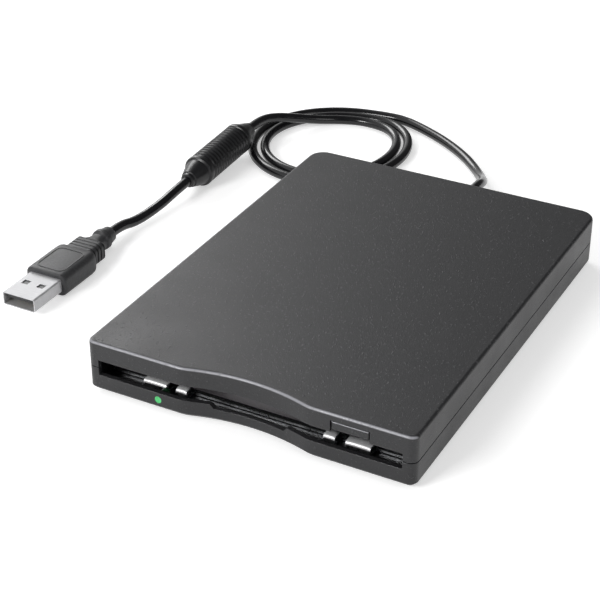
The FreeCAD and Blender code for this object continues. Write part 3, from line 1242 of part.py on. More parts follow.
def core_route():
    """From the end of the coil, up over the two outer loops and into the ferrite sleeve."""
    back, front = ferrite_axis()
    along = (front - back).normalize()
    start = V(COIL_TOP[0], COIL_TOP[1] - COIL_TURNS * STEP_TOP, LYING_Z)
    return [start,
            start + V(-7.2, 0, 0),
            V(-71.0, 127.0, 1.95),
            V(-77.2, 121.2, 2.9),
            V(-82.6, 114.4, 5.1),
            V(-88.0, 107.6, 7.2),
            back - along * 8.0,
            back]


def plug_route():
    back, front = ferrite_axis()
    along = (front - back).normalize()
    plug_length = PLUG_BODY_LENGTH + PLUG_BLOCK_LENGTH + PLUG_NECK_LENGTH + PLUG_COLLAR_LENGTH
    end = V(PLUG_X, PLUG_FRONT + plug_length, PLUG_Z)
    return [front,
            front + along * 8.0,
            V(-91.4, 30.0, 4.0),
            V(-93.4, 18.0, 2.9),
            end + V(0, 6.5, 0),
            end]


def make_ferrite_sleeve():
    """The barrel with a neck and a collar at each end."""
    back, front = ferrite_axis()
    axis = front - back
    length = axis.Length
    axis.normalize()
    neck_end = FERRITE_COLLAR_LENGTH + FERRITE_NECK_LENGTH
    end = [(0, 0), (FERRITE_COLLAR_R, 0), (FERRITE_COLLAR_R, FERRITE_COLLAR_LENGTH),
           (FERRITE_NECK_R, FERRITE_COLLAR_LENGTH), (FERRITE_NECK_R, neck_end), (FERRITE_R, neck_end)]
    outline = end + [(r, length - height) for r, height in reversed(end)]
    return revolve(outline, back, axis, X_AXIS)


def plug_block(y0, y1, width, height, radius):
    block = box(PLUG_X - width / 2, PLUG_X + width / 2, y0, y1, PLUG_Z - height / 2, PLUG_Z + height / 2)
    along = [e for e in block.Edges if abs(e.Vertexes[0].Y - e.Vertexes[-1].Y) > 1e-6]
    return block.makeFillet(radius, along)


def plug_bar(y0, y1, width, height, corner):
    """A bar across the plug whose four long edges are cut off."""
    block = box(PLUG_X - width / 2, PLUG_X + width / 2, y0, y1, PLUG_Z - height / 2, PLUG_Z + height / 2)
    along = [e for e in block.Edges if abs(e.Vertexes[0].Y - e.Vertexes[-1].Y) > 1e-6]
    return block.makeChamfer(corner, along)


def make_plug_overmould():
    """The grip, the barred block behind it, the neck and the collar round the cable."""
    y0 = PLUG_FRONT
    y1 = y0 + PLUG_BODY_LENGTH
    y2 = y1 + PLUG_BLOCK_LENGTH
    y3 = y2 + PLUG_NECK_LENGTH
    cut = 2 * PLUG_END_STEP
    inset = 2 * PLUG_CORE_INSET
    solids = [plug_block(y0, y1 - PLUG_END_STEP, PLUG_BODY_WIDTH, PLUG_BODY_HEIGHT, PLUG_CORNER_R),
              plug_block(y1 - cut, y1, PLUG_BODY_WIDTH - cut, PLUG_BODY_HEIGHT - cut,
                         PLUG_CORNER_R - PLUG_END_STEP)]
    solids.append(plug_bar(y1 - OVERLAP, y2, PLUG_BAR_WIDTH - inset, PLUG_BAR_HEIGHT - inset, PLUG_BAR_CORNER))
    pitch = (PLUG_BLOCK_LENGTH - PLUG_BAR_LENGTH) / (PLUG_BARS - 1)
    for index in range(PLUG_BARS):
        start = y1 + pitch * index
        end = start + PLUG_BAR_LENGTH
        solids.append(plug_bar(start, end, PLUG_BAR_WIDTH, PLUG_BAR_HEIGHT, PLUG_BAR_CORNER))
    solids.append(plug_bar(y2 - OVERLAP, y3, PLUG_NECK_WIDTH, PLUG_NECK_HEIGHT, PLUG_NECK_CORNER))
    collar = [(0, 0), (PLUG_COLLAR_R, 0), (PLUG_COLLAR_R, PLUG_COLLAR_BAND),
              (PLUG_COLLAR_END_R, PLUG_COLLAR_BAND), (PLUG_COLLAR_END_R, PLUG_COLLAR_LENGTH),
              (0, PLUG_COLLAR_LENGTH)]
    solids.append(revolve(collar, V(PLUG_X, y3, PLUG_Z), Y_AXIS, X_AXIS))
    top = PLUG_Z + PLUG_BODY_HEIGHT / 2
    panel = rounded_plate(PLUG_X - PANEL_HALF_WIDTH, PLUG_X + PANEL_HALF_WIDTH, y0 + PANEL_FRONT,
                          y1 - PANEL_BACK, top - PANEL_DEPTH, top + THROUGH, PANEL_CORNER_R)
    pocket = plug_block(y0 - THROUGH, y0 + SHELL_SEAT, SHELL_WIDTH, SHELL_HEIGHT, SHELL_CORNER_R)
    return fuse(solids).cut(panel).cut(pocket)


def make_plug_shell():
    y1 = PLUG_FRONT + SHELL_SEAT
    y0 = PLUG_FRONT - SHELL_LENGTH
    outer = plug_block(y0, y1, SHELL_WIDTH, SHELL_HEIGHT, SHELL_CORNER_R)
    inner = plug_block(y0 - THROUGH, y1 + THROUGH, SHELL_WIDTH - 2 * SHELL_SHEET,
                       SHELL_HEIGHT - 2 * SHELL_SHEET, SHELL_CORNER_R - SHELL_SHEET)
    shell = outer.cut(inner)
    half = SHELL_WINDOW / 2
    window_y = PLUG_FRONT - SHELL_WINDOW_BACK
    for sx in (-1, 1):
        x = PLUG_X + sx * SHELL_WINDOW_X
        shell = shell.cut(box(x - half, x + half, window_y - half, window_y + half, PLUG_Z - SHELL_HEIGHT,
                              PLUG_Z + SHELL_HEIGHT))
    return shell


def make_plug_tongue():
    """The plastic block in the shell, with the thin tongue that carries the contacts."""
    half = SHELL_WIDTH / 2 - SHELL_SHEET - TONGUE_SIDE_AIR
    tall = SHELL_HEIGHT / 2 - SHELL_SHEET - TONGUE_AIR
    root_front = PLUG_FRONT - TONGUE_ROOT
    root = box(PLUG_X - half, PLUG_X + half, root_front, PLUG_FRONT + SHELL_SEAT,
               PLUG_Z - tall, PLUG_Z + tall)
    blade = box(PLUG_X - half, PLUG_X + half, PLUG_FRONT - SHELL_LENGTH + TONGUE_SHORT, root_front + OVERLAP,
                PLUG_Z + tall - TONGUE_THICKNESS, PLUG_Z + tall)
    return fuse([root, blade])


def make_plug_contacts():
    z1 = PLUG_Z + SHELL_HEIGHT / 2 - SHELL_SHEET - TONGUE_AIR - TONGUE_THICKNESS
    front = PLUG_FRONT - SHELL_LENGTH + TONGUE_SHORT + CONTACT_SHORT
    half = CONTACT_WIDTH / 2
    return Part.makeCompound([box(PLUG_X + x - half, PLUG_X + x + half, front, PLUG_FRONT - TONGUE_ROOT,
                                  z1 - CONTACT_HEIGHT, z1) for x in CONTACT_X])


def coil_crossing_gap(coil_line, core_wire):
    """The least air between the climbing run and the loops, left out where the run joins the coil."""
    loops = coil_line.discretize(Distance=1.0)[:-30]
    climb = core_wire.discretize(Distance=1.0)
    return min(a.distanceToPoint(b) for a in loops for b in climb) - 2 * CABLE_R


def export(node, shape):
    shape.exportStep("parts/" + node + ".step")


def main():
    export("top_cover", make_top_cover())
    export("bottom_cover", make_bottom_cover())
    export("rubber_feet", make_rubber_feet())
    export("case_screws", make_case_screws())
    export("chassis_screws", make_chassis_screws())
    export("chassis", make_chassis())
    export("guide_rods", make_guide_rods())
    export("motor_board", make_motor_board())
    export("stator_coils", make_stator_coils())
    export("spindle_bearing", make_spindle_bearing())
    export("spindle_rotor", make_spindle_rotor())
    export("disk_holder", make_disk_holder())
    export("shutter_lever", make_shutter_lever())
    export("cam_slider", make_cam_slider())
    export("eject_button", make_eject_button())
    export("slider_springs", make_springs())
    export("dust_door", make_dust_door())
    export("head_carriage", make_head_carriage())
    export("upper_head_arm", make_upper_head_arm())
    export("lead_screw", make_lead_screw())
    export("stepper_motor", make_stepper_motor())
    export("stepper_bracket", make_stepper_bracket())
    export("switch_housings", make_switch_housings())
    for name, side, inset in SWITCHES:
        export(name + "_plunger", make_plunger(switch_x(side, inset)))
    export("control_board", make_control_board())
    export("control_chips", make_control_chips())
    export("usb_board", make_usb_board())
    export("usb_chips", make_usb_chips())
    export("ribbon_cable", make_ribbon_cable())
    export("activity_led", make_activity_led())
    export("led_lens", make_led_lens())
    export("strain_relief", make_strain_relief())
    exit_tube, exit_wire = tube("cable_exit_run", exit_route())
    coil, coil_line = make_cable_coil()
    core_tube, core_wire = tube("cable_core_run", core_route())
    plug_tube, plug_wire = tube("cable_plug_run", plug_route())
    print("gap of the crossing over the coil", round(coil_crossing_gap(coil_line, core_wire), 2))
    total = exit_wire.Length + coil_line.Length + core_wire.Length + plug_wire.Length
    print("cable length with the ferrite sleeve", round(total + (FERRITE_BACK_Y - FERRITE_FRONT_Y), 1))
    export("cable_exit_run", exit_tube)
    export("cable_coil", coil)
    export("cable_core_run", core_tube)
    export("cable_plug_run", plug_tube)
    export("ferrite_sleeve", make_ferrite_sleeve())
    export("plug_overmould", make_plug_overmould())
    export("plug_shell", make_plug_shell())
    export("plug_tongue", make_plug_tongue())
    export("plug_contacts", make_plug_contacts())


main()
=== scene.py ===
import math

import bmesh
import bpy
from mathutils import Matrix, Vector


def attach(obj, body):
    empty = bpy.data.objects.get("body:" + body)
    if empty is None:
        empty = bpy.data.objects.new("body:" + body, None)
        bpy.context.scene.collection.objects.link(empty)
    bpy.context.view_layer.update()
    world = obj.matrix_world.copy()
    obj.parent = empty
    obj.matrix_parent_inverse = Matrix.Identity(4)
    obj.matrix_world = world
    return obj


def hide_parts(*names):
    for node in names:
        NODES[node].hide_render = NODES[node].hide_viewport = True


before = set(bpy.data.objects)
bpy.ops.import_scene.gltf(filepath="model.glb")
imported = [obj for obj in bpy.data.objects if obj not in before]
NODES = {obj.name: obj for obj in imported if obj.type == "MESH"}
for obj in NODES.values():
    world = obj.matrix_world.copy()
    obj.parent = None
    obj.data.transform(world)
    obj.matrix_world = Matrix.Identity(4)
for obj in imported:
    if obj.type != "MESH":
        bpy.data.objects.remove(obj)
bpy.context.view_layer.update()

# All sizes and places are in millimetres and all angles in degrees, unless a comment says otherwise
MM = 0.001
QUARTER_TURN = math.pi / 2

# The lead, its ferrite sleeve and its plug, placed as in the solids
CABLE_R = 1.75
LYING_Z = CABLE_R + 0.05
EXIT = (2.5, 80.0, 8.0)
COIL_TURNS = 2
CORNERS_PER_TURN = 4
COIL_TOP = (-56.5, 138.6)
COIL_LEFT = (-93.2, 106.5)
COIL_BOTTOM = (-62.0, 73.6)
COIL_RIGHT = (-35.0, 106.0)
# How far each turn draws in at its four corners
STEP_TOP = 4.3
STEP_LEFT = 4.6
STEP_BOTTOM = 5.0
STEP_RIGHT = 4.5
FERRITE_BACK = (-90.8, 92.0, 7.9)
FERRITE_FRONT = (-90.8, 47.5, 5.85)
PLUG_X = -95.2
PLUG_Z = 4.0
PLUG_CABLE_Y = 5.3
PLUG_FRONT_Y = -31.2


def metres(points):
    return [Vector(point) * MM for point in points]


def add_object(name, data):
    made = bpy.data.objects.new(name, data)
    bpy.context.scene.collection.objects.link(made)
    return made


def add_piece(name, data):
    """A visible piece of the drive, which stays with the case at every pose."""
    piece = add_object(name, data)
    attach(piece, "case")
    return piece


# Camera, at the photograph's viewing angle
CAMERA_AZIMUTH = 28.008
CAMERA_ELEVATION = 30.844
CAMERA_DISTANCE = 491.37
CAMERA_TARGET = (-14.645, -10.753, 9.0)
CAMERA_LENS = 96.44
CAMERA_SENSOR = 36.0
CAMERA_NEAR = 10.0


def make_camera():
    azimuth = math.radians(CAMERA_AZIMUTH)
    elevation = math.radians(CAMERA_ELEVATION)
    back = Vector((math.sin(azimuth) * math.cos(elevation),
                   -math.cos(azimuth) * math.cos(elevation),
                   math.sin(elevation)))
    data = bpy.data.cameras.new("camera")
    data.lens = CAMERA_LENS
    data.sensor_width = CAMERA_SENSOR
    data.clip_start = CAMERA_NEAR * MM
    camera = add_object("camera", data)
    camera.location = (Vector(CAMERA_TARGET) + back * CAMERA_DISTANCE) * MM
    camera.rotation_euler = back.to_track_quat("Z", "Y").to_euler()
    bpy.context.scene.camera = camera


make_camera()

# The lead's smooth line. It comes into the coil and leaves it this far from the coil's two ends, starts
# to rise by this much, and is straight by the sleeve and the plug
LEAD_IN = 8.5
LEAD_OUT = 7.2
RISE_START = 0.15
STRAIGHT_BY_FERRITE = 8.0
STRAIGHT_BY_PLUG = 6.5
# How finely the line and its round section are drawn
POINTS_PER_QUARTER = 4
ROUND_STEPS = 8
STEPS_PER_POINT = 10


def nurbs_cable(name, points):
    """A round cable along a smooth line. Each point's radius scales the bevel, here to metres."""
    curve = bpy.data.curves.new(name, "CURVE")
    curve.dimensions = "3D"
    curve.bevel_depth = CABLE_R
    curve.bevel_resolution = ROUND_STEPS
    curve.resolution_u = STEPS_PER_POINT
    curve.use_fill_caps = True
    spline = curve.splines.new("NURBS")
    spline.points.add(len(points) - 1)
    for target, place in zip(spline.points, metres(points)):
        target.co = (*place, 1.0)
        target.radius = MM
    spline.order_u = 3
    spline.use_endpoint_u = True
    return add_piece(name, curve)


def exit_points():
    """From the strain relief down to the surface, as far as the start of the coil."""
    return [EXIT,
            (2.5, 88.5, 8.0),
            (1.6, 96.5, 5.6),
            (-2.0, 104.0, 2.9),
            (-7.2, 111.5, LYING_Z),
            (-14.5, 119.2, LYING_Z),
            (-25.5, 127.6, LYING_Z),
            (-37.5, 134.2, LYING_Z),
            (COIL_TOP[0] + LEAD_IN, COIL_TOP[1], LYING_Z)]


def coil_corners(turn):
    return [(COIL_TOP[0], COIL_TOP[1] - turn * STEP_TOP),
            (COIL_LEFT[0] + turn * STEP_LEFT, COIL_LEFT[1]),
            (COIL_BOTTOM[0], COIL_BOTTOM[1] + turn * STEP_BOTTOM),
            (COIL_RIGHT[0] - turn * STEP_RIGHT, COIL_RIGHT[1])]


def coil_points():
    """The loops lie flat and draw in as they go, a quarter of an oval at a time."""
    corners = []
    for turn in range(COIL_TURNS + 1):
        corners += coil_corners(turn)
    corners = corners[:CORNERS_PER_TURN * COIL_TURNS + 1]
    points = []
    for index, (start, end) in enumerate(zip(corners, corners[1:])):
        centre = (start[0], end[1]) if index % 2 == 0 else (end[0], start[1])
        for step in range(POINTS_PER_QUARTER):
            turn = QUARTER_TURN * step / POINTS_PER_QUARTER
            x, y = (c + (s - c) * math.cos(turn) + (e - c) * math.sin(turn)
                    for c, s, e in zip(centre, start, end))
            points.append((x, y, LYING_Z))
    points.append((*corners[-1], LYING_Z))
    return points


def ferrite_along():
    return (Vector(FERRITE_FRONT) - Vector(FERRITE_BACK)).normalized()


def core_points():
    """Up over the two outer loops and into the ferrite sleeve."""
    back = Vector(FERRITE_BACK)
    return [(COIL_TOP[0] - LEAD_OUT, COIL_TOP[1] - COIL_TURNS * STEP_TOP, LYING_Z),
            (-71.0, 127.0, LYING_Z + RISE_START),
            (-77.2, 121.2, 2.9),
            (-82.6, 114.4, 5.1),
            (-88.0, 107.6, 7.2),
            tuple(back - ferrite_along() * STRAIGHT_BY_FERRITE),
            tuple(back)]


def plug_points():
    """Out of the ferrite sleeve, down towards the surface and up into the plug."""
    front = Vector(FERRITE_FRONT)
    return [tuple(front),
            tuple(front + ferrite_along() * STRAIGHT_BY_FERRITE),
            (-91.4, 30.0, 4.0),
            (-93.4, 18.0, 2.9),
            (PLUG_X, PLUG_CABLE_Y + STRAIGHT_BY_PLUG, PLUG_Z),
            (PLUG_X, PLUG_CABLE_Y, PLUG_Z)]


drive_cable = nurbs_cable("drive_cable", exit_points() + coil_points() + core_points())
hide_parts("cable_exit_run", "cable_coil", "cable_core_run")
plug_cable = nurbs_cable("plug_cable", plug_points())
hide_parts("cable_plug_run")


# Steps that the node trees of the materials, the floor and the world share
WHITE = (1.0, 1.0, 1.0, 1.0)
FADE_IN = (0.0, 1.0)
FADE_OUT = (1.0, 0.0)


def calculate(tree, operation, first, second):
    """Work on two values, each a number or a socket."""
    node = tree.nodes.new("ShaderNodeMath")
    node.operation = operation
    for socket, value in zip(node.inputs, (first, second)):
        if isinstance(value, float):
            socket.default_value = value
        else:
            tree.links.new(value, socket)
    return node.outputs["Value"]


def spread(tree, value, band, new_band):
    """Map one band of values to another, and hold what lies beyond at its ends."""
    node = tree.nodes.new("ShaderNodeMapRange")
    node.inputs["From Min"].default_value, node.inputs["From Max"].default_value = band
    node.inputs["To Min"].default_value, node.inputs["To Max"].default_value = new_band
    tree.links.new(value, node.inputs["Value"])
    return node.outputs["Result"]


def mix_shaders(tree, share, first, second, surface):
    """Give the surface the first shader where the share is 0 and the second where it is 1."""
    node = tree.nodes.new("ShaderNodeMixShader")
    tree.links.new(share, node.inputs[0])
    tree.links.new(first, node.inputs[1])
    tree.links.new(second, node.inputs[2])
    tree.links.new(node.outputs["Shader"], surface)


def seen_or_mirrored(tree):
    """1 for what the camera sees, straight or mirrored in the drive, and 0 for other light."""
    rays = tree.nodes.new("ShaderNodeLightPath").outputs
    return calculate(tree, "MAXIMUM", rays["Is Camera Ray"], rays["Is Glossy Ray"])


# Materials
COAT_ROUGHNESS = 0.1
BEVEL_SAMPLES = 4
# The colour sockets of a mix node, which has others of the same names
MIX_FIRST = 6
MIX_SECOND = 7
MIX_RESULT = 2
# Most of a noise lies in these bands
GRAIN_BAND = (0.35, 0.65)
WIDE_BAND = (0.3, 0.7)
# Cosines between the rounded and the flat normal, from a full edge to none
EDGE_BAND = (0.80, 0.985)
# Parts of the normal upwards and to the back, where the front's shoulder starts and ends
SHOULDER_RISE = (0.20, 0.50)
SHOULDER_FALL = (0.80, 0.96)
SHOULDER_FRONT = (-0.15, -0.45)


def tone(colour, factor):
    return tuple(min(1.0, channel * factor) for channel in colour)


class Paint:
    """A node material that is built up a step at a time around one glossy shader."""

    def __init__(self, name, colour, roughness=0.5, metallic=0.0, specular=0.5, coat=0.0):
        self.material = bpy.data.materials.new(name)
        self.material.use_nodes = True
        self.tree = self.material.node_tree
        self.inputs = self.tree.nodes["Principled BSDF"].inputs
        self.inputs["Base Color"].default_value = (*colour, 1.0)
        self.inputs["Roughness"].default_value = roughness
        self.inputs["Metallic"].default_value = metallic
        self.inputs["Specular IOR Level"].default_value = specular
        self.inputs["Coat Weight"].default_value = coat
        self.inputs["Coat Roughness"].default_value = COAT_ROUGHNESS
        self.place = self.tree.nodes.new("ShaderNodeTexCoord").outputs["Object"]
        self.soft_normal = None

    def calculate(self, operation, first, second):
        return calculate(self.tree, operation, first, second)

    def spread(self, value, band, new_band):
        return spread(self.tree, value, band, new_band)

    def noise(self, size, detail=2.0, stretch=(1.0, 1.0, 1.0), rough=0.5):
        mapping = self.tree.nodes.new("ShaderNodeMapping")
        mapping.inputs["Scale"].default_value = stretch
        self.tree.links.new(self.place, mapping.inputs["Vector"])
        node = self.tree.nodes.new("ShaderNodeTexNoise")
        node.inputs["Scale"].default_value = 1.0 / (size * MM)
        node.inputs["Detail"].default_value = detail
        node.inputs["Roughness"].default_value = rough
        self.tree.links.new(mapping.outputs["Vector"], node.inputs["Vector"])
        return node.outputs["Fac"]

    def crisp_edges(self, radius):
        """1 along the crisp edges and 0 on the flats; a later bump rounds those edges as well."""
        bevel = self.tree.nodes.new("ShaderNodeBevel")
        bevel.samples = BEVEL_SAMPLES
        bevel.inputs["Radius"].default_value = radius * MM
        self.soft_normal = bevel.outputs["Normal"]
        geometry = self.tree.nodes.new("ShaderNodeNewGeometry")
        dot = self.tree.nodes.new("ShaderNodeVectorMath")
        dot.operation = "DOT_PRODUCT"
        self.tree.links.new(self.soft_normal, dot.inputs[0])
        self.tree.links.new(geometry.outputs["True Normal"], dot.inputs[1])
        return self.spread(dot.outputs["Value"], EDGE_BAND, FADE_OUT)

    def rounded_shoulders(self):
        """1 along the forward-facing rounded top edge of the front, the place of a painted highlight
        and a smoother finish.
        """
        geometry = self.tree.nodes.new("ShaderNodeNewGeometry")
        split = self.tree.nodes.new("ShaderNodeSeparateXYZ")
        self.tree.links.new(geometry.outputs["Normal"], split.inputs["Vector"])
        rising = self.spread(split.outputs["Z"], SHOULDER_RISE, FADE_IN)
        falling = self.spread(split.outputs["Z"], SHOULDER_FALL, FADE_OUT)
        frontward = self.spread(split.outputs["Y"], SHOULDER_FRONT, FADE_IN)
        rounded = self.calculate("MULTIPLY", rising, falling)
        return self.calculate("MULTIPLY", rounded, frontward)

    def vary_colour(self, value, dark, light):
        ramp = self.tree.nodes.new("ShaderNodeValToRGB")
        ramp.color_ramp.elements[0].color = (*dark, 1.0)
        ramp.color_ramp.elements[1].color = (*light, 1.0)
        self.tree.links.new(value, ramp.inputs["Fac"])
        self.tree.links.new(ramp.outputs["Color"], self.inputs["Base Color"])

    def vary_tone(self, value, band, colour, dark, light):
        """From a darker to a lighter tone of one colour, over a band of values."""
        self.vary_colour(self.spread(value, band, FADE_IN), tone(colour, dark), tone(colour, light))

    def tint(self, value, colour):
        """Lay a second colour over what the colour input already gets."""
        node = self.tree.nodes.new("ShaderNodeMix")
        node.data_type = "RGBA"
        base = self.inputs["Base Color"]
        self.tree.links.new(value, node.inputs["Factor"])
        self.tree.links.new(base.links[0].from_socket, node.inputs[MIX_FIRST])
        node.inputs[MIX_SECOND].default_value = (*colour, 1.0)
        self.tree.links.new(node.outputs[MIX_RESULT], base)

    def set_roughness(self, value):
        self.tree.links.new(value, self.inputs["Roughness"])

    def vary_roughness(self, value, smooth, rough):
        self.set_roughness(self.spread(value, WIDE_BAND, (smooth, rough)))

    def bump(self, value, depth, strength=1.0):
        node = self.tree.nodes.new("ShaderNodeBump")
        node.inputs["Strength"].default_value = strength
        node.inputs["Distance"].default_value = depth * MM
        self.tree.links.new(value, node.inputs["Height"])
        if self.soft_normal:
            self.tree.links.new(self.soft_normal, node.inputs["Normal"])
        self.tree.links.new(node.outputs["Normal"], self.inputs["Normal"])

    def glow(self, colour, strength):
        self.inputs["Emission Color"].default_value = (*colour, 1.0)
        self.inputs["Emission Strength"].default_value = strength


# Large soft patches in which moulded plastic is a little duller or glossier
SHEEN_SIZE = 14.0
SHEEN_CHANGE = 0.04


def moulded(name, colour, roughness, grain_size, grain_depth, specular=0.5):
    """Moulded plastic with a fine spark-eroded grain and a little unevenness of colour."""
    paint = Paint(name, colour, roughness, specular=specular)
    grain = paint.noise(grain_size, detail=3.0, rough=0.6)
    paint.vary_tone(grain, GRAIN_BAND, colour, dark=0.82, light=1.22)
    sheen = paint.noise(SHEEN_SIZE)
    paint.vary_roughness(sheen, roughness - SHEEN_CHANGE, roughness + SHEEN_CHANGE)
    paint.bump(grain, grain_depth)
    return paint.material


CASE_ROUGHNESS = 0.42
CASE_SPECULAR = 0.42
CASE_GRAIN_SIZE = 0.42
CASE_GRAIN_DEPTH = 0.05
EDGE_RADIUS = 0.30
EDGE_POLISH = 0.16
SPECK_SIZE = 0.8
# Only the peaks of the noise come out as specks
SPECK_BAND = (0.66, 0.74)
SPECK_SHARE = 0.8
SPECK_HEIGHT = 2.0
EDGE_HIGHLIGHT_SHARE = 0.7
SHOULDER_HIGHLIGHT_SHARE = 0.8
# How many times lighter than the case these are; the edge and shoulder tones are painted highlights
SPECK_TONE = 2.0
EDGE_HIGHLIGHT_TONE = 3.2
SHOULDER_HIGHLIGHT_TONE = 17.0


def case_plastic(name, colour, roughness=CASE_ROUGHNESS):
    """Charcoal plastic: fine grain, sparse light specks, smoother edges, painted highlights on edges
    and front shoulder.
    """
    paint = Paint(name, colour, roughness, specular=CASE_SPECULAR)
    edges = paint.crisp_edges(EDGE_RADIUS)
    shoulders = paint.rounded_shoulders()
    grain = paint.noise(CASE_GRAIN_SIZE, detail=3.0, rough=0.65)
    paint.vary_tone(grain, GRAIN_BAND, colour, dark=0.75, light=1.25)
    specks = paint.spread(paint.noise(SPECK_SIZE, detail=1.0), SPECK_BAND, (0.0, SPECK_SHARE))
    paint.tint(specks, tone(colour, SPECK_TONE))
    # Painted highlights: the crisp edges and the front's rounded top edge are tinted lighter than the
    # case
    paint.tint(paint.calculate("MULTIPLY", edges, EDGE_HIGHLIGHT_SHARE), tone(colour, EDGE_HIGHLIGHT_TONE))
    paint.tint(paint.calculate("MULTIPLY", shoulders, SHOULDER_HIGHLIGHT_SHARE), tone(colour, SHOULDER_HIGHLIGHT_TONE))
    sheen = paint.spread(paint.noise(SHEEN_SIZE), WIDE_BAND,
                         (roughness - SHEEN_CHANGE, roughness + SHEEN_CHANGE))
    handled = paint.calculate("MAXIMUM", edges, shoulders)
    polish = paint.calculate("MULTIPLY", handled, EDGE_POLISH)
    paint.set_roughness(paint.calculate("SUBTRACT", sheen, polish))
    raised = paint.calculate("MULTIPLY", specks, SPECK_HEIGHT)
    paint.bump(paint.calculate("ADD", grain, raised), CASE_GRAIN_DEPTH)
    return paint.material


METAL_SMOOTHER = 0.06
METAL_ROUGHER = 0.08


def metal(name, colour, roughness, stretch=(1.0, 14.0, 1.0), grain_size=1.2, metallic=1.0):
    """Metal with a faint drawn grain, which runs across the direction of the largest stretch."""
    paint = Paint(name, colour, roughness, metallic=metallic)
    grain = paint.noise(grain_size, detail=3.0, stretch=stretch)
    paint.vary_tone(grain, WIDE_BAND, colour, dark=0.9, light=1.05)
    paint.vary_roughness(grain, roughness - METAL_SMOOTHER, roughness + METAL_ROUGHER)
    paint.bump(grain, depth=0.01, strength=0.4)
    return paint.material


def cable_material():
    """Smooth black sheathing, a little uneven."""
    paint = Paint("cable_pvc", (0.006, 0.006, 0.007), roughness=0.20, specular=0.42)
    patches = paint.noise(5.0, detail=3.0)
    paint.vary_colour(patches, dark=(0.004, 0.004, 0.005), light=(0.009, 0.009, 0.010))
    paint.vary_roughness(patches, smooth=0.16, rough=0.24)
    paint.bump(paint.noise(2.2), depth=0.008, strength=0.5)
    return paint.material


def board_material():
    """Solder mask with a lighter net of copper tracks beneath it."""
    paint = Paint("board_green", (0.02, 0.16, 0.07), roughness=0.35, coat=0.3)
    brick = paint.tree.nodes.new("ShaderNodeTexBrick")
    brick.inputs["Scale"].default_value = 260.0
    brick.inputs["Color1"].default_value = (0.02, 0.17, 0.07, 1.0)
    brick.inputs["Color2"].default_value = (0.015, 0.12, 0.05, 1.0)
    brick.inputs["Mortar"].default_value = (0.05, 0.26, 0.11, 1.0)
    brick.inputs["Mortar Size"].default_value = 0.04
    paint.tree.links.new(paint.place, brick.inputs["Vector"])
    paint.tree.links.new(brick.outputs["Color"], paint.inputs["Base Color"])
    return paint.material


def lamp_material():
    """Clear green lens with a faint light behind it."""
    paint = Paint("led_green", (0.03, 0.36, 0.09), roughness=0.25, coat=0.5)
    core = paint.noise(1.6, detail=1.0)
    paint.vary_colour(core, dark=(0.02, 0.30, 0.07), light=(0.08, 0.55, 0.18))
    paint.glow((0.05, 0.75, 0.18), strength=0.16)
    return paint.material


CASE_COLOUR = (0.019, 0.019, 0.0205)
CASE = case_plastic("case_abs", CASE_COLOUR)
# Painted shade: the lower cover takes the case plastic made darker
SHADED_LOWER_CASE = case_plastic("case_abs_lower_painted_shade", tone(CASE_COLOUR, 0.85))
BUTTON = case_plastic("button_abs", tone(CASE_COLOUR, 1.1), roughness=0.40)
# Name, colour, roughness, size and depth of the grain
DOOR = moulded("door_abs", (0.040, 0.037, 0.040), 0.34, 0.6, 0.01)
DARK_PLASTIC = moulded("dark_plastic", (0.03, 0.03, 0.032), 0.4, 0.8, 0.02)
WHITE_PLASTIC = moulded("white_plastic", (0.72, 0.70, 0.66), 0.4, 0.8, 0.01)
HEAD_PLASTIC = moulded("head_ceramic", (0.20, 0.20, 0.21), 0.4, 0.8, 0.02)
RUBBER = moulded("rubber", (0.02, 0.02, 0.02), 0.75, 0.5, 0.06)
CHIP = moulded("chip_black", (0.015, 0.015, 0.015), 0.5, 0.3, 0.01)
PLUG = moulded("plug_pvc", (0.034, 0.034, 0.036), 0.48, 0.7, 0.03, specular=0.35)
FERRITE = moulded("ferrite_cover", (0.009, 0.009, 0.010), 0.36, 0.8, 0.02, specular=0.4)
LED_BODY = moulded("led_body", (0.010, 0.035, 0.015), 0.3, 0.8, 0.01)
TONGUE = moulded("tongue_plastic", (0.012, 0.012, 0.013), 0.45, 0.8, 0.01)
FLAT_CABLE = moulded("flat_cable", (0.70, 0.70, 0.66), 0.4, 1.0, 0.01)
# Name, colour and roughness
STEEL = metal("zinc_steel", (0.66, 0.67, 0.69), 0.30)
BRIGHT_STEEL = metal("bright_steel", (0.92, 0.92, 0.93), 0.45, stretch=(6.0, 1.0, 1.0),
                     grain_size=1.5, metallic=0.5)
SHELL = metal("tinned_shell", (0.62, 0.62, 0.63), 0.70, stretch=(1.0, 6.0, 1.0), grain_size=2.5)
NICKEL = metal("nickel", (0.78, 0.78, 0.79), 0.26, stretch=(1.0, 6.0, 1.0), grain_size=2.5)
BLACK_STEEL = metal("black_steel", (0.08, 0.08, 0.08), 0.4)
COPPER = metal("copper_coil", (0.72, 0.34, 0.15), 0.35, stretch=(20.0, 20.0, 1.0), grain_size=3.0)
BRONZE = metal("bronze", (0.62, 0.46, 0.24), 0.4)
GOLD = metal("gold", (0.90, 0.68, 0.28), 0.25)
CABLE = cable_material()
BOARD = board_material()
LAMP = lamp_material()

